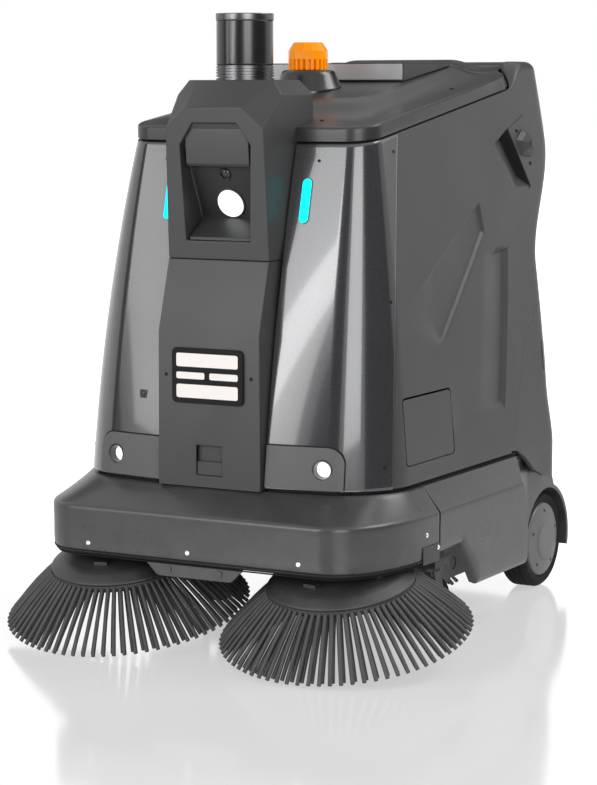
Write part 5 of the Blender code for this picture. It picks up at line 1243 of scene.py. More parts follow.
def skirt_grid():
    """Side skirt: the trim's section carried back, its lower edge stepping down, its rear edge slanting."""
    share = np.concatenate([np.linspace(0.0, SKIRT_CUT_SHARE, 14),
                            np.linspace(SKIRT_CUT_SHARE, SKIRT_FOOT_SHARE, 20)[1:],
                            np.linspace(SKIRT_FOOT_SHARE, 1.0, 30)[1:]])
    drop = np.clip((share - SKIRT_CUT_SHARE) / (SKIRT_FOOT_SHARE - SKIRT_CUT_SHARE), 0.0, 1.0)
    out = np.stack([1.0 + 0.0 * share, 0.0 * share], axis=1)
    low = mix(SKIRT_CUT_Z, SKIRT_FOOT_Z, drop)
    grid = trim_section(TRIM_HALF * out, out, body().foot_half * out, out, low)
    rear = np.interp(grid[..., 2], (SKIRT_STRAIGHT_Z, CREASE_Z, TRIM_TOP),
                     (SKIRT_REAR_Y, SKIRT_CREASE_Y, SKIRT_TOP_Y))
    grid[..., 1] = mix(SKIRT_SEAM_Y + 0.0007, rear, share[None, :])
    return grid


class CLEANER_OT_trim(bpy.types.Operator):
    """Make the front bumper with its strip, screws and tabs, the nose plate and the side skirts."""

    bl_idname = "cleaner.trim"
    bl_label = "Bumper and skirts"

    def execute(self, context):
        line = crease_line(150)
        out = plan_out(line)
        foot = foot_line(150)
        grid = trim_section(line, out, foot, plan_out(foot), BUMPER_LOW_Z)
        piece("bumper_skin", [sheet(both_ways(grid))], "trim_grey", "moulded_grey",
              stands_for=("front_bumper",), thick=TRIM_WALL, sharp=60.0)
        whole, ways = (np.concatenate([half[:0:-1] * (-1.0, 1.0), half]) for half in (line, out))
        beads = [bead(whole - inset * ways, ways, BUMPER_LOW_Z + z, BEAD_R) for inset, z in BUMPER_BEADS]
        piece("bumper_strip", beads, "seam_and_shade_black", "seal_rubber", sharp=60.0)
        screws = []
        for x in (-0.2144, -0.0076, 0.2137):
            screws.append(screw((x, TRIM_FRONT_Y + 0.0004, 0.197), TO_FRONT, TRIM_SCREW_R))
        for x, y, z in ((-0.0008, -0.054, 0.2267), (0.0012, -0.012, 0.199)):
            made = screw((TRIM_HALF + x, SKIRT_SEAM_Y + y, z), TO_RIGHT, TRIM_SCREW_R)
            screws += [made, mirrored(made)]
        piece("trim_screws", screws, "bright_steel", "silver")
        end = np.flatnonzero(line[:, 1] > SKIRT_SEAM_Y - 0.070)
        edge = line[end] + 0.0014 * out[end]
        tab = sheet(np.array([np.insert(edge, 2, z, axis=1) for z in (BUMPER_LOW_Z, 0.186, 0.197, 0.207)]))
        piece("bumper_tabs", [tab, mirrored(tab)], "dark_plastic", "dark_plastic", thick=0.0012, bevel=0.0005)
        nose_y = TRIM_FRONT_Y + 0.010
        plate = fillet([(-0.100, 0.1745), (0.100, 0.1745), (0.075, 0.150), (-0.075, 0.150)], 0.006, 5, True)
        parts = [prism(plate, "Y", nose_y, nose_y + 0.005)]
        for x in (-0.052, 0.052):
            spot = (x, nose_y - 0.0004, 0.1625)
            parts.append(dot(spot, TO_FRONT, 0.006, 0.0012, 0.0048, 0.002, segments=24))
        piece("nose_skin", parts, "trim_grey", "moulded_grey", stands_for=("nose_plate",), bevel=0.0010)
        pair("_skirt_skin", [sheet(skirt_grid())], "trim_grey", "moulded_grey", "_side_skirt",
             thick=TRIM_WALL, bevel=0.0003, sharp=60.0)
        return {"FINISHED"}


class CLEANER_OT_wheels(bpy.types.Operator):
    """Make the drive wheels with their caps, the fenders over them and the casters."""

    bl_idname = "cleaner.wheels"
    bl_label = "Wheels and fenders"

    def execute(self, context):
        centre = (0.0, WHEEL_Y, WHEEL_R)
        pair("_tyre_tread", [looped(self.tread(), 96, "X", centre)], "rubber", "rubber", "_tyre", "_wheel")
        cap = WHEEL_OUT_X + CAP_OUT
        hub = fillet([(0.002, BRACKET_IN_X + 0.002), (AXLE_R, BRACKET_IN_X + 0.002),
                      (AXLE_R, WHEEL_IN_X - 0.002), (0.03, WHEEL_IN_X), (HUB_R, WHEEL_IN_X + 0.006),
                      (HUB_R, WHEEL_OUT_X - 0.005), (HUB_R - 0.002, WHEEL_OUT_X - 0.001),
                      (HUB_R - 0.006, WHEEL_OUT_X), (0.045, cap - 0.0035), (0.0425, cap - 0.0040),
                      (0.040, cap - 0.0015), (0.036, cap), (0.002, cap)],
                     [0.0] * 5 + [0.001, 0.002, 0.003, 0.0008, 0.0008, 0.001, 0.002, 0.0], 4)
        dish = turned(hub, 72, "X", centre)
        pair("_hub_dish", [dish], "hub_cap", "hub_cap", "_wheel_hub", "_wheel", sharp=25.0)
        dots = []
        for turn in np.radians((18.0, 90.0, 162.0, 234.0, 306.0)):
            spot = (WHEEL_OUT_X + 0.0026, WHEEL_Y + 0.058 * math.cos(turn), WHEEL_R + 0.058 * math.sin(turn))
            dots.append(dot(spot, TO_RIGHT, 0.0032, 0.0004, 0.0026, 0.0009, 0.002))
        pair("_hub_dots", dots, "dark_plastic", "dark_plastic", on="_wheel")
        pair("_fender_arch", self.fender(), "trim_grey", "moulded_grey", "_fender", bevel=0.0020, sharp=30.0)
        half = [(0.0056, 0.015), (0.030, 0.015), (0.034, 0.013), (0.041, 0.015), (0.045, 0.010)]
        roll = fillet([(r, -x) for r, x in half] + half[::-1], 0.003, 3)
        for _, word in SIDES:
            low, high = (np.array(v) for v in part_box(word + "_caster_wheel"))
            piece(word + "_caster_tread", [looped(roll, 48, "X", 0.5 * (low + high))], "rubber", "rubber",
                  word + "_caster_roller", (word + "_caster_wheel",))
            softened(word + "_fork_frame", word + "_caster_fork", "painted_steel", "painted_steel", 0.0012,
                     word + "_caster")
        return {"FINISHED"}

    def tread(self):
        """Section of a tyre as (radius, x) rows: round shoulders and three grooves."""
        middle = 0.5 * (WHEEL_IN_X + WHEEL_OUT_X)
        rows = [(HUB_R + 0.0003, WHEEL_IN_X + 0.004), (HUB_R + 0.010, WHEEL_IN_X + 0.0015),
                (WHEEL_R - 0.008, WHEEL_IN_X), (WHEEL_R, WHEEL_IN_X + 0.009)]
        for x in (middle - 0.012, middle, middle + 0.012):
            rows += [(WHEEL_R, x - 0.0022), (WHEEL_R - 0.0022, x - 0.0012), (WHEEL_R - 0.0022, x + 0.0012),
                     (WHEEL_R, x + 0.0022)]
        rows += [(WHEEL_R, WHEEL_OUT_X - 0.009), (WHEEL_R - 0.008, WHEEL_OUT_X),
                 (HUB_R + 0.010, WHEEL_OUT_X - 0.0015), (HUB_R + 0.0003, WHEEL_OUT_X - 0.004)]
        return fillet(rows, [0.0, 0.002, 0.006, 0.005] + [0.0005] * 12 + [0.005, 0.006, 0.002, 0.0], 4)

    def fender(self):
        """A fender's arch with its web, and the cheek in front of it."""
        def arc(radius, first, last, count):
            turn = np.radians(np.linspace(first, last, count))
            return np.stack([WHEEL_Y + radius * np.cos(turn), WHEEL_R + radius * np.sin(turn)], axis=1)

        top = DECK_LOW_Z - 0.0003
        web = [(WHEEL_Y - FENDER_WALL, top), (FENDER_FRONT_Y - 0.015, top), (FENDER_FRONT_Y, WHEEL_R + 0.06)]
        outer = arc(ARCH_R + FENDER_WALL, -14.0, 72.0, 40)
        outline = np.concatenate([outer, web, arc(ARCH_R, 158.0, -14.0, 64)])
        rear = WHEEL_Y - ARCH_R - 0.002
        near = SKIRT_TOP_Y + 0.0008
        cheek = [(FENDER_OUT_X - 0.002, FENDER_FRONT_Y + 0.002), (CHEEK_OUT_X - 0.012, near),
                 (CHEEK_OUT_X, near), (FENDER_OUT_X + 0.002, rear), (FENDER_OUT_X - 0.002, rear)]
        return [prism(outline, "X", FENDER_IN_X, FENDER_OUT_X), prism(cheek, "Z", CHEEK_LOW_Z, top)]


# Head, spine, lights and what stands on the lid.


class CLEANER_OT_head(bpy.types.Operator):
    """Make the sensor head with its window, lens and lamp, and the ranging sensor on top."""

    bl_idname = "cleaner.head"
    bl_label = "Sensor head"

    def execute(self, context):
        softened("head_case", "sensor_head", "head_grey", "moulded_grey", 0.0022)

        def glass(z, shift=0.0):
            return WINDOW_Y + WINDOW_LEAN * (WINDOW_TOP_Z - z) + shift, z

        visor = [glass(0.936, 0.001), glass(0.925, -0.004), glass(0.873, -0.020), glass(0.868, -0.018),
                 glass(0.868, 0.001)]
        shelf = [glass(0.779, 0.001), glass(0.776, -0.004), (-0.392, 0.744), (-0.394, 0.7385),
                 glass(0.7385, 0.001)]
        parts = [prism(visor, "X", -0.0640, 0.0640), prism(shelf, "X", -0.0615, 0.0615)]
        piece("window_visor", parts, "head_grey", "moulded_grey", bevel=0.0012)
        plate = [glass(0.867, -0.0012), glass(0.780, -0.0012), glass(0.780, 0.001), glass(0.867, 0.001)]
        pane = prism(plate, "X", -0.062, 0.062)
        piece("window_panel", [pane], "window_black", "black_plastic", bevel=0.0004)
        way = (0.0, -1.0, -WINDOW_LEAN)
        lens = [(0.0115, -0.001), (0.0115, 0.0035), (0.0100, 0.0048), (0.0085, 0.0048), (0.0072, 0.0030),
                (0.0070, 0.0024), (0.0050, 0.0034), (0.0010, 0.0040)]
        piece("lens_barrel", [disc((0.0, *glass(0.855)), way, lens, 40)], "black_plastic", "black_plastic",
              stands_for=("camera_lens",))
        spot = (0.0, *glass(0.803))
        lamp = fillet([(0.0255, -0.001), (0.0255, 0.0032), (0.0235, 0.0046), (0.012, 0.0056),
                       (0.001, 0.0059)], 0.0012, 4)
        bezel = [(0.0290, -0.001), (0.0290, 0.0028), (0.0278, 0.0036), (0.0262, 0.0036), (0.0258, 0.0020)]
        piece("lamp_glass", [disc(spot, way, lamp, 56)], "white_light", "white_light",
              stands_for=("head_lamp",))
        piece("lamp_bezel", [disc(spot, way, bezel, 56)], "dark_plastic", "dark_plastic")
        self.ranger()
        return {"FINISHED"}

    def ranger(self):
        """The ranging sensor: a ribbed base, a dark window and a cap."""
        ribs = [(0.0485, 0.0), (0.0515, 0.0), (0.0515, 0.0028), (0.0475, 0.0034), (0.0475, 0.0052)]
        for i in range(4):
            z = 0.0056 + 0.0050 * i
            ribs += [(0.0513, z), (0.0513, z + 0.0030), (0.0490, z + 0.0036), (0.0490, z + 0.0046)]
        ribs += [(0.0512, 0.0262), (0.002, 0.0262)]
        glass = fillet([(0.002, 0.0), (0.0500, 0.0), (0.0505, 0.0015), (0.0505, 0.0762), (0.0500, 0.0777),
                        (0.002, 0.0777)], 0.0006, 3)
        cap = fillet([(0.002, 0.0), (0.0512, 0.0), (0.0515, 0.001), (0.0515, 0.0112), (0.0506, 0.0123),
                      (0.040, 0.0123), (0.0390, 0.0115), (0.002, 0.0115)], 0.0005, 3)
        for name, node, profile, segments, look, sharp in (
                ("ranger_ribs", "ranger_base", ribs, 72, "silver", 25.0),
                ("ranger_glass", "ranger_window", glass, 96, "black_plastic", 40.0),
                ("ranger_lid", "ranger_cap", cap, 96, "silver", 40.0)):
            foot = (0.0, RANGER_Y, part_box(node)[0][2])
            piece(name, [turned(profile, segments, "Z", foot)], look, look, stands_for=(node,), sharp=sharp)


class CLEANER_OT_spine(bpy.types.Operator):
    """Make the spine cover with its latch pocket and the status light with its four bars."""

    bl_idname = "cleaner.spine"
    bl_label = "Spine and status light"

    def execute(self, context):
        face = SPINE_FACE_Y
        pocket = block((-0.0258, face - 0.01, 0.3255), (0.0258, face + 0.02, 0.3785))
        softened("spine_case", "spine_cover", "head_grey", "moulded_grey", 0.0022, cuts=[pocket])
        lining = round_box(-0.0275, 0.3238, 0.0275, 0.3802, 0.002, 3)
        piece("pocket_back", [prism(lining, "Y", face + 0.009, face + 0.012)], "dark_plastic", "dark_plastic")
        latch = block((-0.0256, face + 0.0030, 0.3257), (0.0256, face + 0.0095, 0.3500))
        piece("pocket_latch", [latch], "head_grey", "dark_plastic", bevel=0.0012)
        low, high = (np.array(v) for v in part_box("status_frame"))
        half = 0.5 * (high - low)
        outer = round_box(-half[0], low[2], half[0], high[2], 0.011, 7)
        piece("status_case", [prism(outer, "Y", low[1], face + 0.0003)], "seam_and_shade_black", "dark_plastic",
              stands_for=("status_frame",), bevel=0.0009)
        wide = half[0] - STATUS_RIM
        unit = (2.0 * half[2] - 4.0 * STATUS_RIM) / 5.0
        middle = low[2] + 2.0 * STATUS_RIM + 2.0 * unit
        # Bars: first and last X, lower edge, tallness.
        bars = ((-wide, wide, low[2] + STATUS_RIM, 2.0 * unit), (-wide, -0.005, middle, unit),
                (0.005, wide, middle, unit), (-wide, wide, high[2] - STATUS_RIM - 2.0 * unit, 2.0 * unit))
        parts = []
        for x0, x1, z, tall in bars:
            line = round_box(x0, z, x1, z + tall, min(0.0045, 0.3 * tall), 6)
            parts.append(prism(line, "Y", low[1] - 0.0004, low[1] + 0.002))
        piece("status_bars", parts, "status_white", "status_white", stands_for=("status_diffuser",),
              bevel=0.0004)
        holes = []
        for x in (-0.0865, 0.0865):
            holes.append(dot((x, face - 0.0002, 0.502), TO_FRONT, 0.0032, 0.0004, 0.002, 0.0005))
        piece("spine_holes", holes, "seam_and_shade_black", "dark_plastic")
        return {"FINISHED"}


class CLEANER_OT_lights(bpy.types.Operator):
    """Make the corner plates with their headlights, the light bars and the front shells' small marks."""

    bl_idname = "cleaner.lights"
    bl_label = "Plates and lights"

    def execute(self, context):
        self.plates()
        for name, grow, rise, sunk, look, node, bevel in (
                ("_bar_glow", 0.0, 0.0028, 0.0002, "cyan_light", "_light_bar", 0.0006),
                ("_bar_edge", 0.0015, 0.0012, -0.0004, "black_plastic", "", 0.0)):
            a, c = rounded(0.0085 + grow, 0.0385 + grow, 0.0085 + grow, 15, 60)
            points, out = front_at(BAR_X + a, BAR_Z + c)
            pair(name, [slab(points + rise * out, points + sunk * out)], look, look, node, bevel=bevel)
        marks = []
        for z in (0.893, 0.634, 0.350):
            marks.append(dot(*wall_at(front_seam(z) - 0.016, z), 0.0034, 0.0004, 0.0022, 0.0006))
        marks.append(dot(*front_at(0.156, 0.878), 0.0030, 0.0004, 0.002, 0.0006))
        piece("shell_marks", marks + [mirrored(mark) for mark in marks], "seam_and_shade_black", "dark_plastic")
        spot, way = front_at(0.157, 0.4588)
        square = round_box(-0.0075, -0.0075, 0.0075, 0.0075, 0.0015, 4)
        rows = ((1.0, -0.002), (1.0, 0.0010), (0.9, 0.0018))
        points, faces = tube(np.stack([np.insert(square * share, 2, rise, axis=1) for share, rise in rows]))
        eye = dot(spot + 0.0016 * way, way, 0.0036, 0.0008, 0.0024, 0.0012, 0.0, 20)
        parts = [mirrored((oriented(points, spot, way), faces)), mirrored(eye)]
        piece("cliff_eye", parts, "black_plastic", "black_plastic")
        return {"FINISHED"}

    def plates(self):
        """The corner plates with one round corner, the dark line round them and the headlights in them."""
        spot, way = front_at(HEADLIGHT_X, HEADLIGHT_Z)
        hole = disc(spot, way, [(HEADLIGHT_R + 0.0016, -0.03), (HEADLIGHT_R + 0.0016, 0.03)], 48)
        across, high = np.meshgrid(np.linspace(0.0, 1.0, 60), np.linspace(0.0, 1.0, 36))
        x = mix(PLATE_LEFT, PLATE_RIGHT, across)
        z = mix(body().foot_z + 0.0015, PLATE_TOP, high)
        past_x, past_z = x - (PLATE_RIGHT - PLATE_ROUND), z - (PLATE_TOP - PLATE_ROUND)
        inside, pull = corner_pull(past_x, past_z)
        x = np.where(inside, PLATE_RIGHT - PLATE_ROUND + past_x * pull, x)
        z = np.where(inside, PLATE_TOP - PLATE_ROUND + past_z * pull, z)
        points, out = front_at(x, z)
        plate = slab(points + 0.0033 * out, points + 0.0002 * out)
        pair("_plate_skin", [plate], "plate_grey", "moulded_grey", "_corner_plate", cuts=[hole], bevel=0.0008)
        points, out = front_at(x + 0.0022 * across, z + 0.0022 * high)
        edge = slab(points + 0.0012 * out, points - 0.0004 * out)
        pair("_plate_edge", [edge], "seam_and_shade_black", "seal_rubber", cuts=[hole])
        r = HEADLIGHT_R
        sleeve = fillet([(r + 0.0004, -0.013), (r + 0.0030, -0.013), (r + 0.0030, 0.0036),
                         (r + 0.0014, 0.0042), (r, 0.0032), (r - 0.0010, -0.012)], 0.0006, 3)
        points, faces = looped(sleeve, 56)
        pair("_light_sleeve", [(oriented(points, spot, way), faces)], "black_plastic", "black_plastic")
        lens = fillet([(r - 0.0012, -0.0150), (r - 0.0016, -0.0110), (r - 0.004, -0.0094),
                       (0.001, -0.0088)], 0.001, 4)
        pair("_light_lens", [disc(spot, way, lens, 48)], "white_light", "white_light", "_headlight")


class CLEANER_OT_lid_top(bpy.types.Operator):
    """Make the beacon on its cone, the lid's marks, the console with its screen and the stop button."""

    bl_idname = "cleaner.lid_top"
    bl_label = "Beacon and console"

    def execute(self, context):
        self.beacon()
        dots = []
        for x, y in LID_MARKS:
            spot = (x, y, lid_top(y) - LID_CROWN + LID_MARK_RISE)
            mark = dot(spot, (0.0, -LID_SLOPE, 1.0), 0.0042, 0.0006, 0.003, 0.001, 0.002)
            dots += [mark, mirrored(mark)]
        piece("lid_marks", dots, "seam_and_shade_black", "dark_plastic")
        softened("console_case", "console_housing", "satin_graphite", "graphite_satin", 0.0018)
        # Painted reflection: a light plate on the console's front stands for the bright reflection on it and
        # the light the head keeps off it.
        low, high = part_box("console_housing")
        foot, rim = lid_top(low[1]) + 0.004, 0.002
        face = round_box(low[0] + rim, foot, high[0] - rim, high[2] - rim, rim, 4)
        piece("console_face", [prism(face, "Y", low[1] - 0.0012, low[1] + 0.0004)], "console_painted_reflection",
              "graphite_satin", bevel=0.0004)
        softened("screen_glass", "touch_screen", "black_plastic", "black_plastic", 0.0004)
        self.stop()
        return {"FINISHED"}

    def beacon(self):
        """The beacon: a black cone that follows the lid's slope, and a toothed amber lens with a cap."""
        seat = lid_top(BEACON_Y) + BEACON_SEAT
        turn = circle(96)
        # Rows of the cone: radius, and share of the way from the lid to the seat.
        rows = ((0.0620, -0.02), (0.0620, 0.06), (0.0616, 0.11), (0.0604, 0.16), (0.0520, 0.74),
                (0.0505, 0.84), (0.0485, 0.92), (0.0455, 0.97), (0.0415, 1.0), (0.002, 1.0))
        loops = []
        for radius, share in rows:
            y = BEACON_Y + radius * np.sin(turn)
            loops.append(xyz(radius * np.cos(turn), y, mix(lid_top(y), seat, share)))
        piece("beacon_cone", [tube(np.array(loops))], "black_plastic", "black_plastic",
              stands_for=("beacon_base",))
        turn = circle(BEACON_TEETH * 8)[None, :]
        wave = smooth(2.6 * np.cos(BEACON_TEETH * turn) + 1.1)
        # Rows of the teeth: height, and share of the tooth's depth.
        rows = ((0.0, 1.0), (0.0008, 1.0), (0.0150, 1.0), (0.0175, 0.4), (0.0190, 0.0), (0.0200, 0.0))
        rise, cut = np.array(rows).T[..., None]
        radius = BEACON_R - 0.0100 * cut * (1.0 - wave)
        foot = seat + BEACON_GAP
        teeth = xyz(radius * np.cos(turn), BEACON_Y + radius * np.sin(turn), foot + rise)
        cap = [(BEACON_R, 0.0195), (BEACON_R, 0.0345), (BEACON_R * 0.97, 0.0365), (BEACON_R * 0.78, 0.0475),
               (BEACON_R * 0.72, 0.0500), (0.002, 0.0500)]
        piece("beacon_glass", [tube(teeth), turned(cap, 14, "Z", (0.0, BEACON_Y, foot))], "amber", "amber",
              stands_for=("beacon_lens",), sharp=18.0)

    def stop(self):
        """The stop button's knob on its own body, and the collar round it on the rear."""
        low, high = (np.array(v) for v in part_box("stop_button"))
        x, _, z = 0.5 * (low + high)
        knob = fillet([(0.007, 0.0), (0.007, 0.0190), (0.0190, 0.0190), (0.0190, 0.0245), (0.0165, 0.0290),
                       (0.008, 0.0300), (0.001, 0.0300)], (0, 0, 0.001, 0.003, 0.003, 0.002, 0), 5)
        scale = (high[1] - low[1]) / 0.0300
        part = turned(knob * (1.0, scale), 48, "Y", (x, low[1], z))
        piece("stop_knob", [part], "stop_red", "stop_red", "stop", ("stop_button",))
        collar = fillet([(0.0085, 0.0), (0.024, 0.0), (0.0235, 0.0020), (0.0210, 0.0030), (0.0203, 0.0005),
                         (0.0085, 0.0005)], 0.0005, 3)
        ring = looped(collar, 56, "Y", (x, CROWN_Y + 0.0002, z))
        piece("stop_collar", [ring], "dark_plastic", "dark_plastic")


class CLEANER_OT_pods(bpy.types.Operator):
    """Make the faceted side cameras with their plates, and dark sheets of painted shade over the walls of the
    scoops in front of them.
    """

    bl_idname = "cleaner.pods"
    bl_label = "Side cameras"

    def execute(self, context):
        outline, middle = np.array(POD_OUTLINE), np.array(POD_MIDDLE)
        lens = middle + POD_LENS_SHIFT
        x = np.max(wall_at(outline[:, 0], outline[:, 1])[0][:, 0])
        rows = ((outline, -0.020), (outline, -0.004), (mix(outline, middle, 0.22), 0.004),
                (mix(outline, lens, 0.62), 0.0098))
        pod = tube(np.array([np.insert(line, 0, x + rise, axis=1) for line, rise in rows]))
        glass = disc((x + 0.0092, *lens), TO_RIGHT, [(0.0068, 0.0), (0.0068, 0.0010), (0.0055, 0.0017),
                                                    (0.0030, 0.0017), (0.001, 0.0012)], 32)
        screws = []
        for y, z in POD_SCREWS:
            spot, way = wall_at(y, z)
            screws.append(screw(spot + 0.0016 * way, way, POD_SCREW_R))
        u, v = (grid[..., None] for grid in np.meshgrid(np.linspace(0.0, 1.0, 12), np.linspace(0.0, 1.0, 12)))
        front_top, front_low, rear_low, rear_top = np.array(POD_PLATE)
        place = mix(mix(front_top, front_low, u), mix(rear_top, rear_low, u), v)
        points, out = wall_at(place[..., 0], place[..., 1])
        plate = points + 0.0014 * out
        # Painted shade: a dark sheet laid on the scoop's steep wall stands for the shade inside the scoop.
        corners, slopes, depth = SEAT
        low, top = np.array(corners[2:])
        inward = np.array([top[1] - low[1], low[0] - top[0]]) / np.linalg.norm(low - top)
        place = mix(low, top, u) - (slopes[2] - 0.0005) * inward * v
        points, out = wall_at(place[..., 0], place[..., 1])
        wall = points + (0.0012 - 0.90 * depth * v * np.clip(12.0 * u * (1.0 - u), 0.0, 1.0)) * out
        pair("_pod_case", [pod], "dark_plastic", "dark_plastic", "_side_camera", bevel=0.0010, sharp=20.0)
        pair("_pod_glass", [glass], "black_plastic", "black_plastic")
        pair("_pod_screws", screws, "seam_and_shade_black", "silver")
        pair("_pod_plate", [sheet(plate)], "moulded_grey", "moulded_grey", thick=0.0012, bevel=0.0004)
        pair("_pod_shade", [sheet(wall)], "seam_and_shade_black", "dark_plastic", thick=0.0010)
        return {"FINISHED"}


class CLEANER_OT_roller(bpy.types.Operator):
    """Make the main roller brush: a core with chevron rows of tufts."""

    bl_idname = "cleaner.roller"
    bl_label = "Roller brush"

    def execute(self, context):
        half = [(0.004, SHAFT_END), (0.012, SHAFT_END), (0.012, ROLLER_HALF), (0.046, ROLLER_HALF)]
        core = fillet([(r, -x) for r, x in half] + half[::-1], 0.0015, 3)
        centre = np.array([0.0, ROLLER_Y, ROLLER_Z])
        place = np.linspace(-ROLLER_HALF + 0.006, ROLLER_HALF - 0.006, TUFTS_IN_ROW)
        row, x = (v.ravel()[:, None, None] for v in np.meshgrid(np.arange(TUFT_ROWS), place, indexing="ij"))
        uneven = 0.03 * np.sin(9.7 * row + 431.0 * x)
        side = circle(6)[None, None, :]
        # From the root to the tip of a tuft: radius on the roller, thickness, lean.
        out, thick, lean = np.array([(0.044, 0.066, ROLLER_R - 0.0006), (0.0030, 0.0034, 0.0038),
                                     (0.0, 0.012, 0.04)])[:, None, :, None]
        turn = 2.0 * np.pi * row / TUFT_ROWS + CHEVRON * np.abs(x) / ROLLER_HALF + uneven + lean
        over = thick * np.sin(side)
        y = out * np.cos(turn) - over * np.sin(turn)
        z = out * np.sin(turn) + over * np.cos(turn)
        points = xyz(x + thick * np.cos(side), y, z) + centre
        parts = [turned(core, 48, "X", centre), strands(points, flip=True)]
        piece("roller_tufts", parts, "bristle", "bristle", "roller", ("roller_brush",), sharp=50.0)
        return {"FINISHED"}


class CLEANER_OT_stage(bpy.types.Operator):
    """Make the camera, the even light, the floor, the lamps and the flags."""

    bl_idname = "cleaner.stage"
    bl_label = "Stage"

    def execute(self, context):
        scene = context.scene
        s = scene.cleaner_stage
        scene.view_settings.view_transform = "Standard"
        eye = bpy.data.cameras.new("camera")
        eye.sensor_fit = "VERTICAL"
        eye.sensor_height = SENSOR_HEIGHT
        eye.lens = s.focal / PHOTO_HEIGHT * SENSOR_HEIGHT
        camera = new_object("camera", eye)
        camera.location = (s.camera_x, s.camera_y, s.camera_z)
        camera.rotation_euler = (math.pi / 2.0 - s.pitch, 0.0, s.azimuth)
        scene.camera = camera
        world = bpy.data.worlds.new("studio")
        scene.world = world
        world.use_nodes = True
        tree = world.node_tree
        path = tree.nodes.new("ShaderNodeLightPath")
        seen = calc(tree, "MAXIMUM", path.outputs["Is Camera Ray"], path.outputs["Is Transmission Ray"])
        seen = calc(tree, "MAXIMUM", seen, path.outputs["Is Glossy Ray"])
        back = tree.nodes["Background"]
        back.inputs[0].default_value = WHITE
        tree.links.new(span(tree, seen, 0.0, 1.0, s.sky, 1.0), back.inputs[1])
        self.floor(scene)
        for name, turn, distance, height, wide, tall, roll, level, gloss in LAMPS:
            data = bpy.data.lights.new(name, "AREA")
            data.shape = "RECTANGLE"
            data.size, data.size_y = wide, tall
            data.energy = level * math.pi * wide * tall
            lamp = new_object(name, data)
            a = math.radians(turn)
            lamp.location = (distance * math.sin(a), -distance * math.cos(a), height)
            aim = Euler((math.atan2(distance, height - AIM_Z), 0.0, a)).to_matrix()
            lamp.rotation_euler = (aim @ Matrix.Rotation(math.radians(roll), 3, "Z")).to_euler()
            lamp.visible_glossy = gloss
            lamp.visible_camera = False
        for name, first, last, low, high, level, always in FLAGS:
            self.flag(name, np.radians(np.linspace(first, last, 24)), low, high, level, always)
        return {"FINISHED"}

    def floor(self, scene):
        """A round floor, white to the camera, that keeps the machine's shadow and its reflection near it."""
        turn = circle(96)
        loops = np.array([xyz(r * np.cos(turn), r * np.sin(turn), 0.0) for r in (60.0, 6.0, 1.2, 0.01)])
        ground = new_object("floor", mesh_of("floor", [tube(loops, False, True)]))
        made, tree, shader = new_material("floor")
        set_inputs(shader, {"IOR": FLOOR_IOR, "Emission Color": WHITE})
        away = tree.nodes.new("ShaderNodeVectorMath")
        away.operation = "DISTANCE"
        away.inputs[1].default_value = SHINE_SPOT
        tree.links.new(tree.nodes.new("ShaderNodeTexCoord").outputs["Object"], away.inputs[0])
        rough = span(tree, away.outputs["Value"], SHINE_NEAR, SHINE_FAR, FLOOR_NEAR_ROUGH, FLOOR_FAR_ROUGH)
        tree.links.new(rough, shader.inputs["Roughness"])
        path = tree.nodes.new("ShaderNodeLightPath")
        seen = calc(tree, "MAXIMUM", path.outputs["Is Camera Ray"], path.outputs["Is Glossy Ray"])
        colour = tree.nodes.new("ShaderNodeMix")
        colour.data_type = "RGBA"
        colour.inputs[6].default_value = (*scene.cleaner_colours.floor, 1.0)
        colour.inputs[7].default_value = FLOOR_SEEN
        tree.links.new(seen, colour.inputs[0])
        tree.links.new(colour.outputs[2], shader.inputs["Base Color"])
        far = span(tree, away.outputs["Value"], SHINE_NEAR, SHINE_FAR, 0.0, FAR_GLOW)
        far = calc(tree, "MULTIPLY", far, path.outputs["Is Camera Ray"])
        near = calc(tree, "MULTIPLY", seen, FLOOR_GLOW)
        tree.links.new(calc(tree, "ADD", near, far), shader.inputs["Emission Strength"])
        ground.data.materials.append(made)

    def flag(self, name, turn, low, high, level, always):
        """A curved card that only reflections see: (r sin a, -r cos a) between two heights."""
        points = np.array([xyz(FLAG_R * np.sin(turn), -FLAG_R * np.cos(turn), z) for z in (low, high)])
        card = new_object(name, mesh_of(name, [sheet(points)]))
        made, tree, shader = new_material(name)
        set_inputs(shader, {"Base Color": FLAG_COLOUR, "Roughness": 1.0, "Emission Color": WHITE,
                            "Emission Strength": level})
        if not always:
            path = tree.nodes.new("ShaderNodeLightPath")
            near = calc(tree, "COMPARE", path.outputs["Ray Length"], FLAG_REACH)
            near.node.inputs[2].default_value = FLAG_SPREAD
            blend = tree.nodes.new("ShaderNodeMixShader")
            tree.links.new(near, blend.inputs[0])
            tree.links.new(tree.nodes.new("ShaderNodeBsdfTransparent").outputs[0], blend.inputs[1])
            tree.links.new(shader.outputs[0], blend.inputs[2])
            tree.links.new(blend.outputs[0], tree.nodes["Material Output"].inputs["Surface"])
        card.data.materials.append(made)
        card.visible_camera = card.visible_diffuse = card.visible_shadow = card.visible_transmission = False


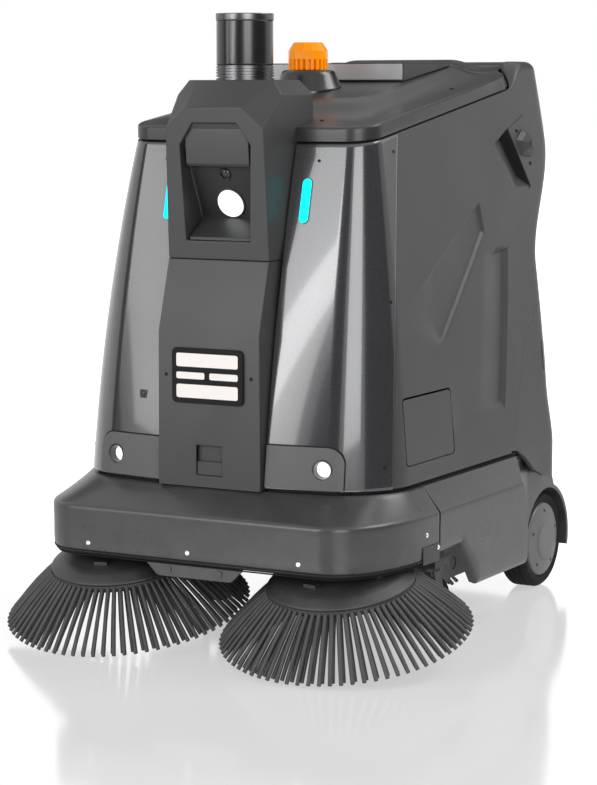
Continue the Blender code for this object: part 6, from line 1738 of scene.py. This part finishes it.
class CLEANER_OT_inside(bpy.types.Operator):
    """Dress the parts that keep their solid shape: chassis, seal, hopper and what stands inside."""

    bl_idname = "cleaner.inside"
    bl_label = "Carried parts"

    def execute(self, context):
        dress("painted_steel", "chassis_frame")
        dress("seam_and_shade_black", "body_seal")
        dress("dark_plastic", "hopper", "fan_impeller", "brush_chamber", "control_box", "blower_housing")
        dress("black_plastic", "battery_pack", "roller_motor")
        return {"FINISHED"}


STEPS = (CLEANER_OT_stage, CLEANER_OT_shells, CLEANER_OT_panels, CLEANER_OT_hatch, CLEANER_OT_lid,
         CLEANER_OT_brushes, CLEANER_OT_trim, CLEANER_OT_wheels, CLEANER_OT_head, CLEANER_OT_spine,
         CLEANER_OT_lights, CLEANER_OT_lid_top, CLEANER_OT_pods, CLEANER_OT_roller, CLEANER_OT_inside)
GROUPS = (("cleaner_body", CleanerBodySizes), ("cleaner_brush", CleanerBrushSizes),
          ("cleaner_colours", CleanerColours), ("cleaner_stage", CleanerStage))


class CLEANER_PT_panel(bpy.types.Panel):
    """Lists the steps that dress the cleaner."""

    bl_idname = "CLEANER_PT_panel"
    bl_label = "Floor cleaner"
    bl_space_type = "VIEW_3D"
    bl_region_type = "UI"
    bl_category = "Cleaner"

    def draw(self, context):
        for step in STEPS:
            self.layout.operator(step.bl_idname)
        for name, group in GROUPS:
            column = self.layout.column()
            for key in group.__annotations__:
                column.prop(getattr(context.scene, name), key)


def register():
    """Register the property groups, the steps and the panel."""
    for name, group in GROUPS:
        bpy.utils.register_class(group)
        setattr(bpy.types.Scene, name, PointerProperty(type=group))
    for made in (*STEPS, CLEANER_PT_panel):
        bpy.utils.register_class(made)


def unregister():
    """Take the panel, the steps and the property groups away again."""
    for made in (CLEANER_PT_panel, *reversed(STEPS)):
        bpy.utils.unregister_class(made)
    for name, group in reversed(GROUPS):
        delattr(bpy.types.Scene, name)
        bpy.utils.unregister_class(group)


def main():
    """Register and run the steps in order."""
    register()
    for step in STEPS:
        area, name = step.bl_idname.split(".")
        getattr(getattr(bpy.ops, area), name)()


if __name__ == "__main__":
    main()
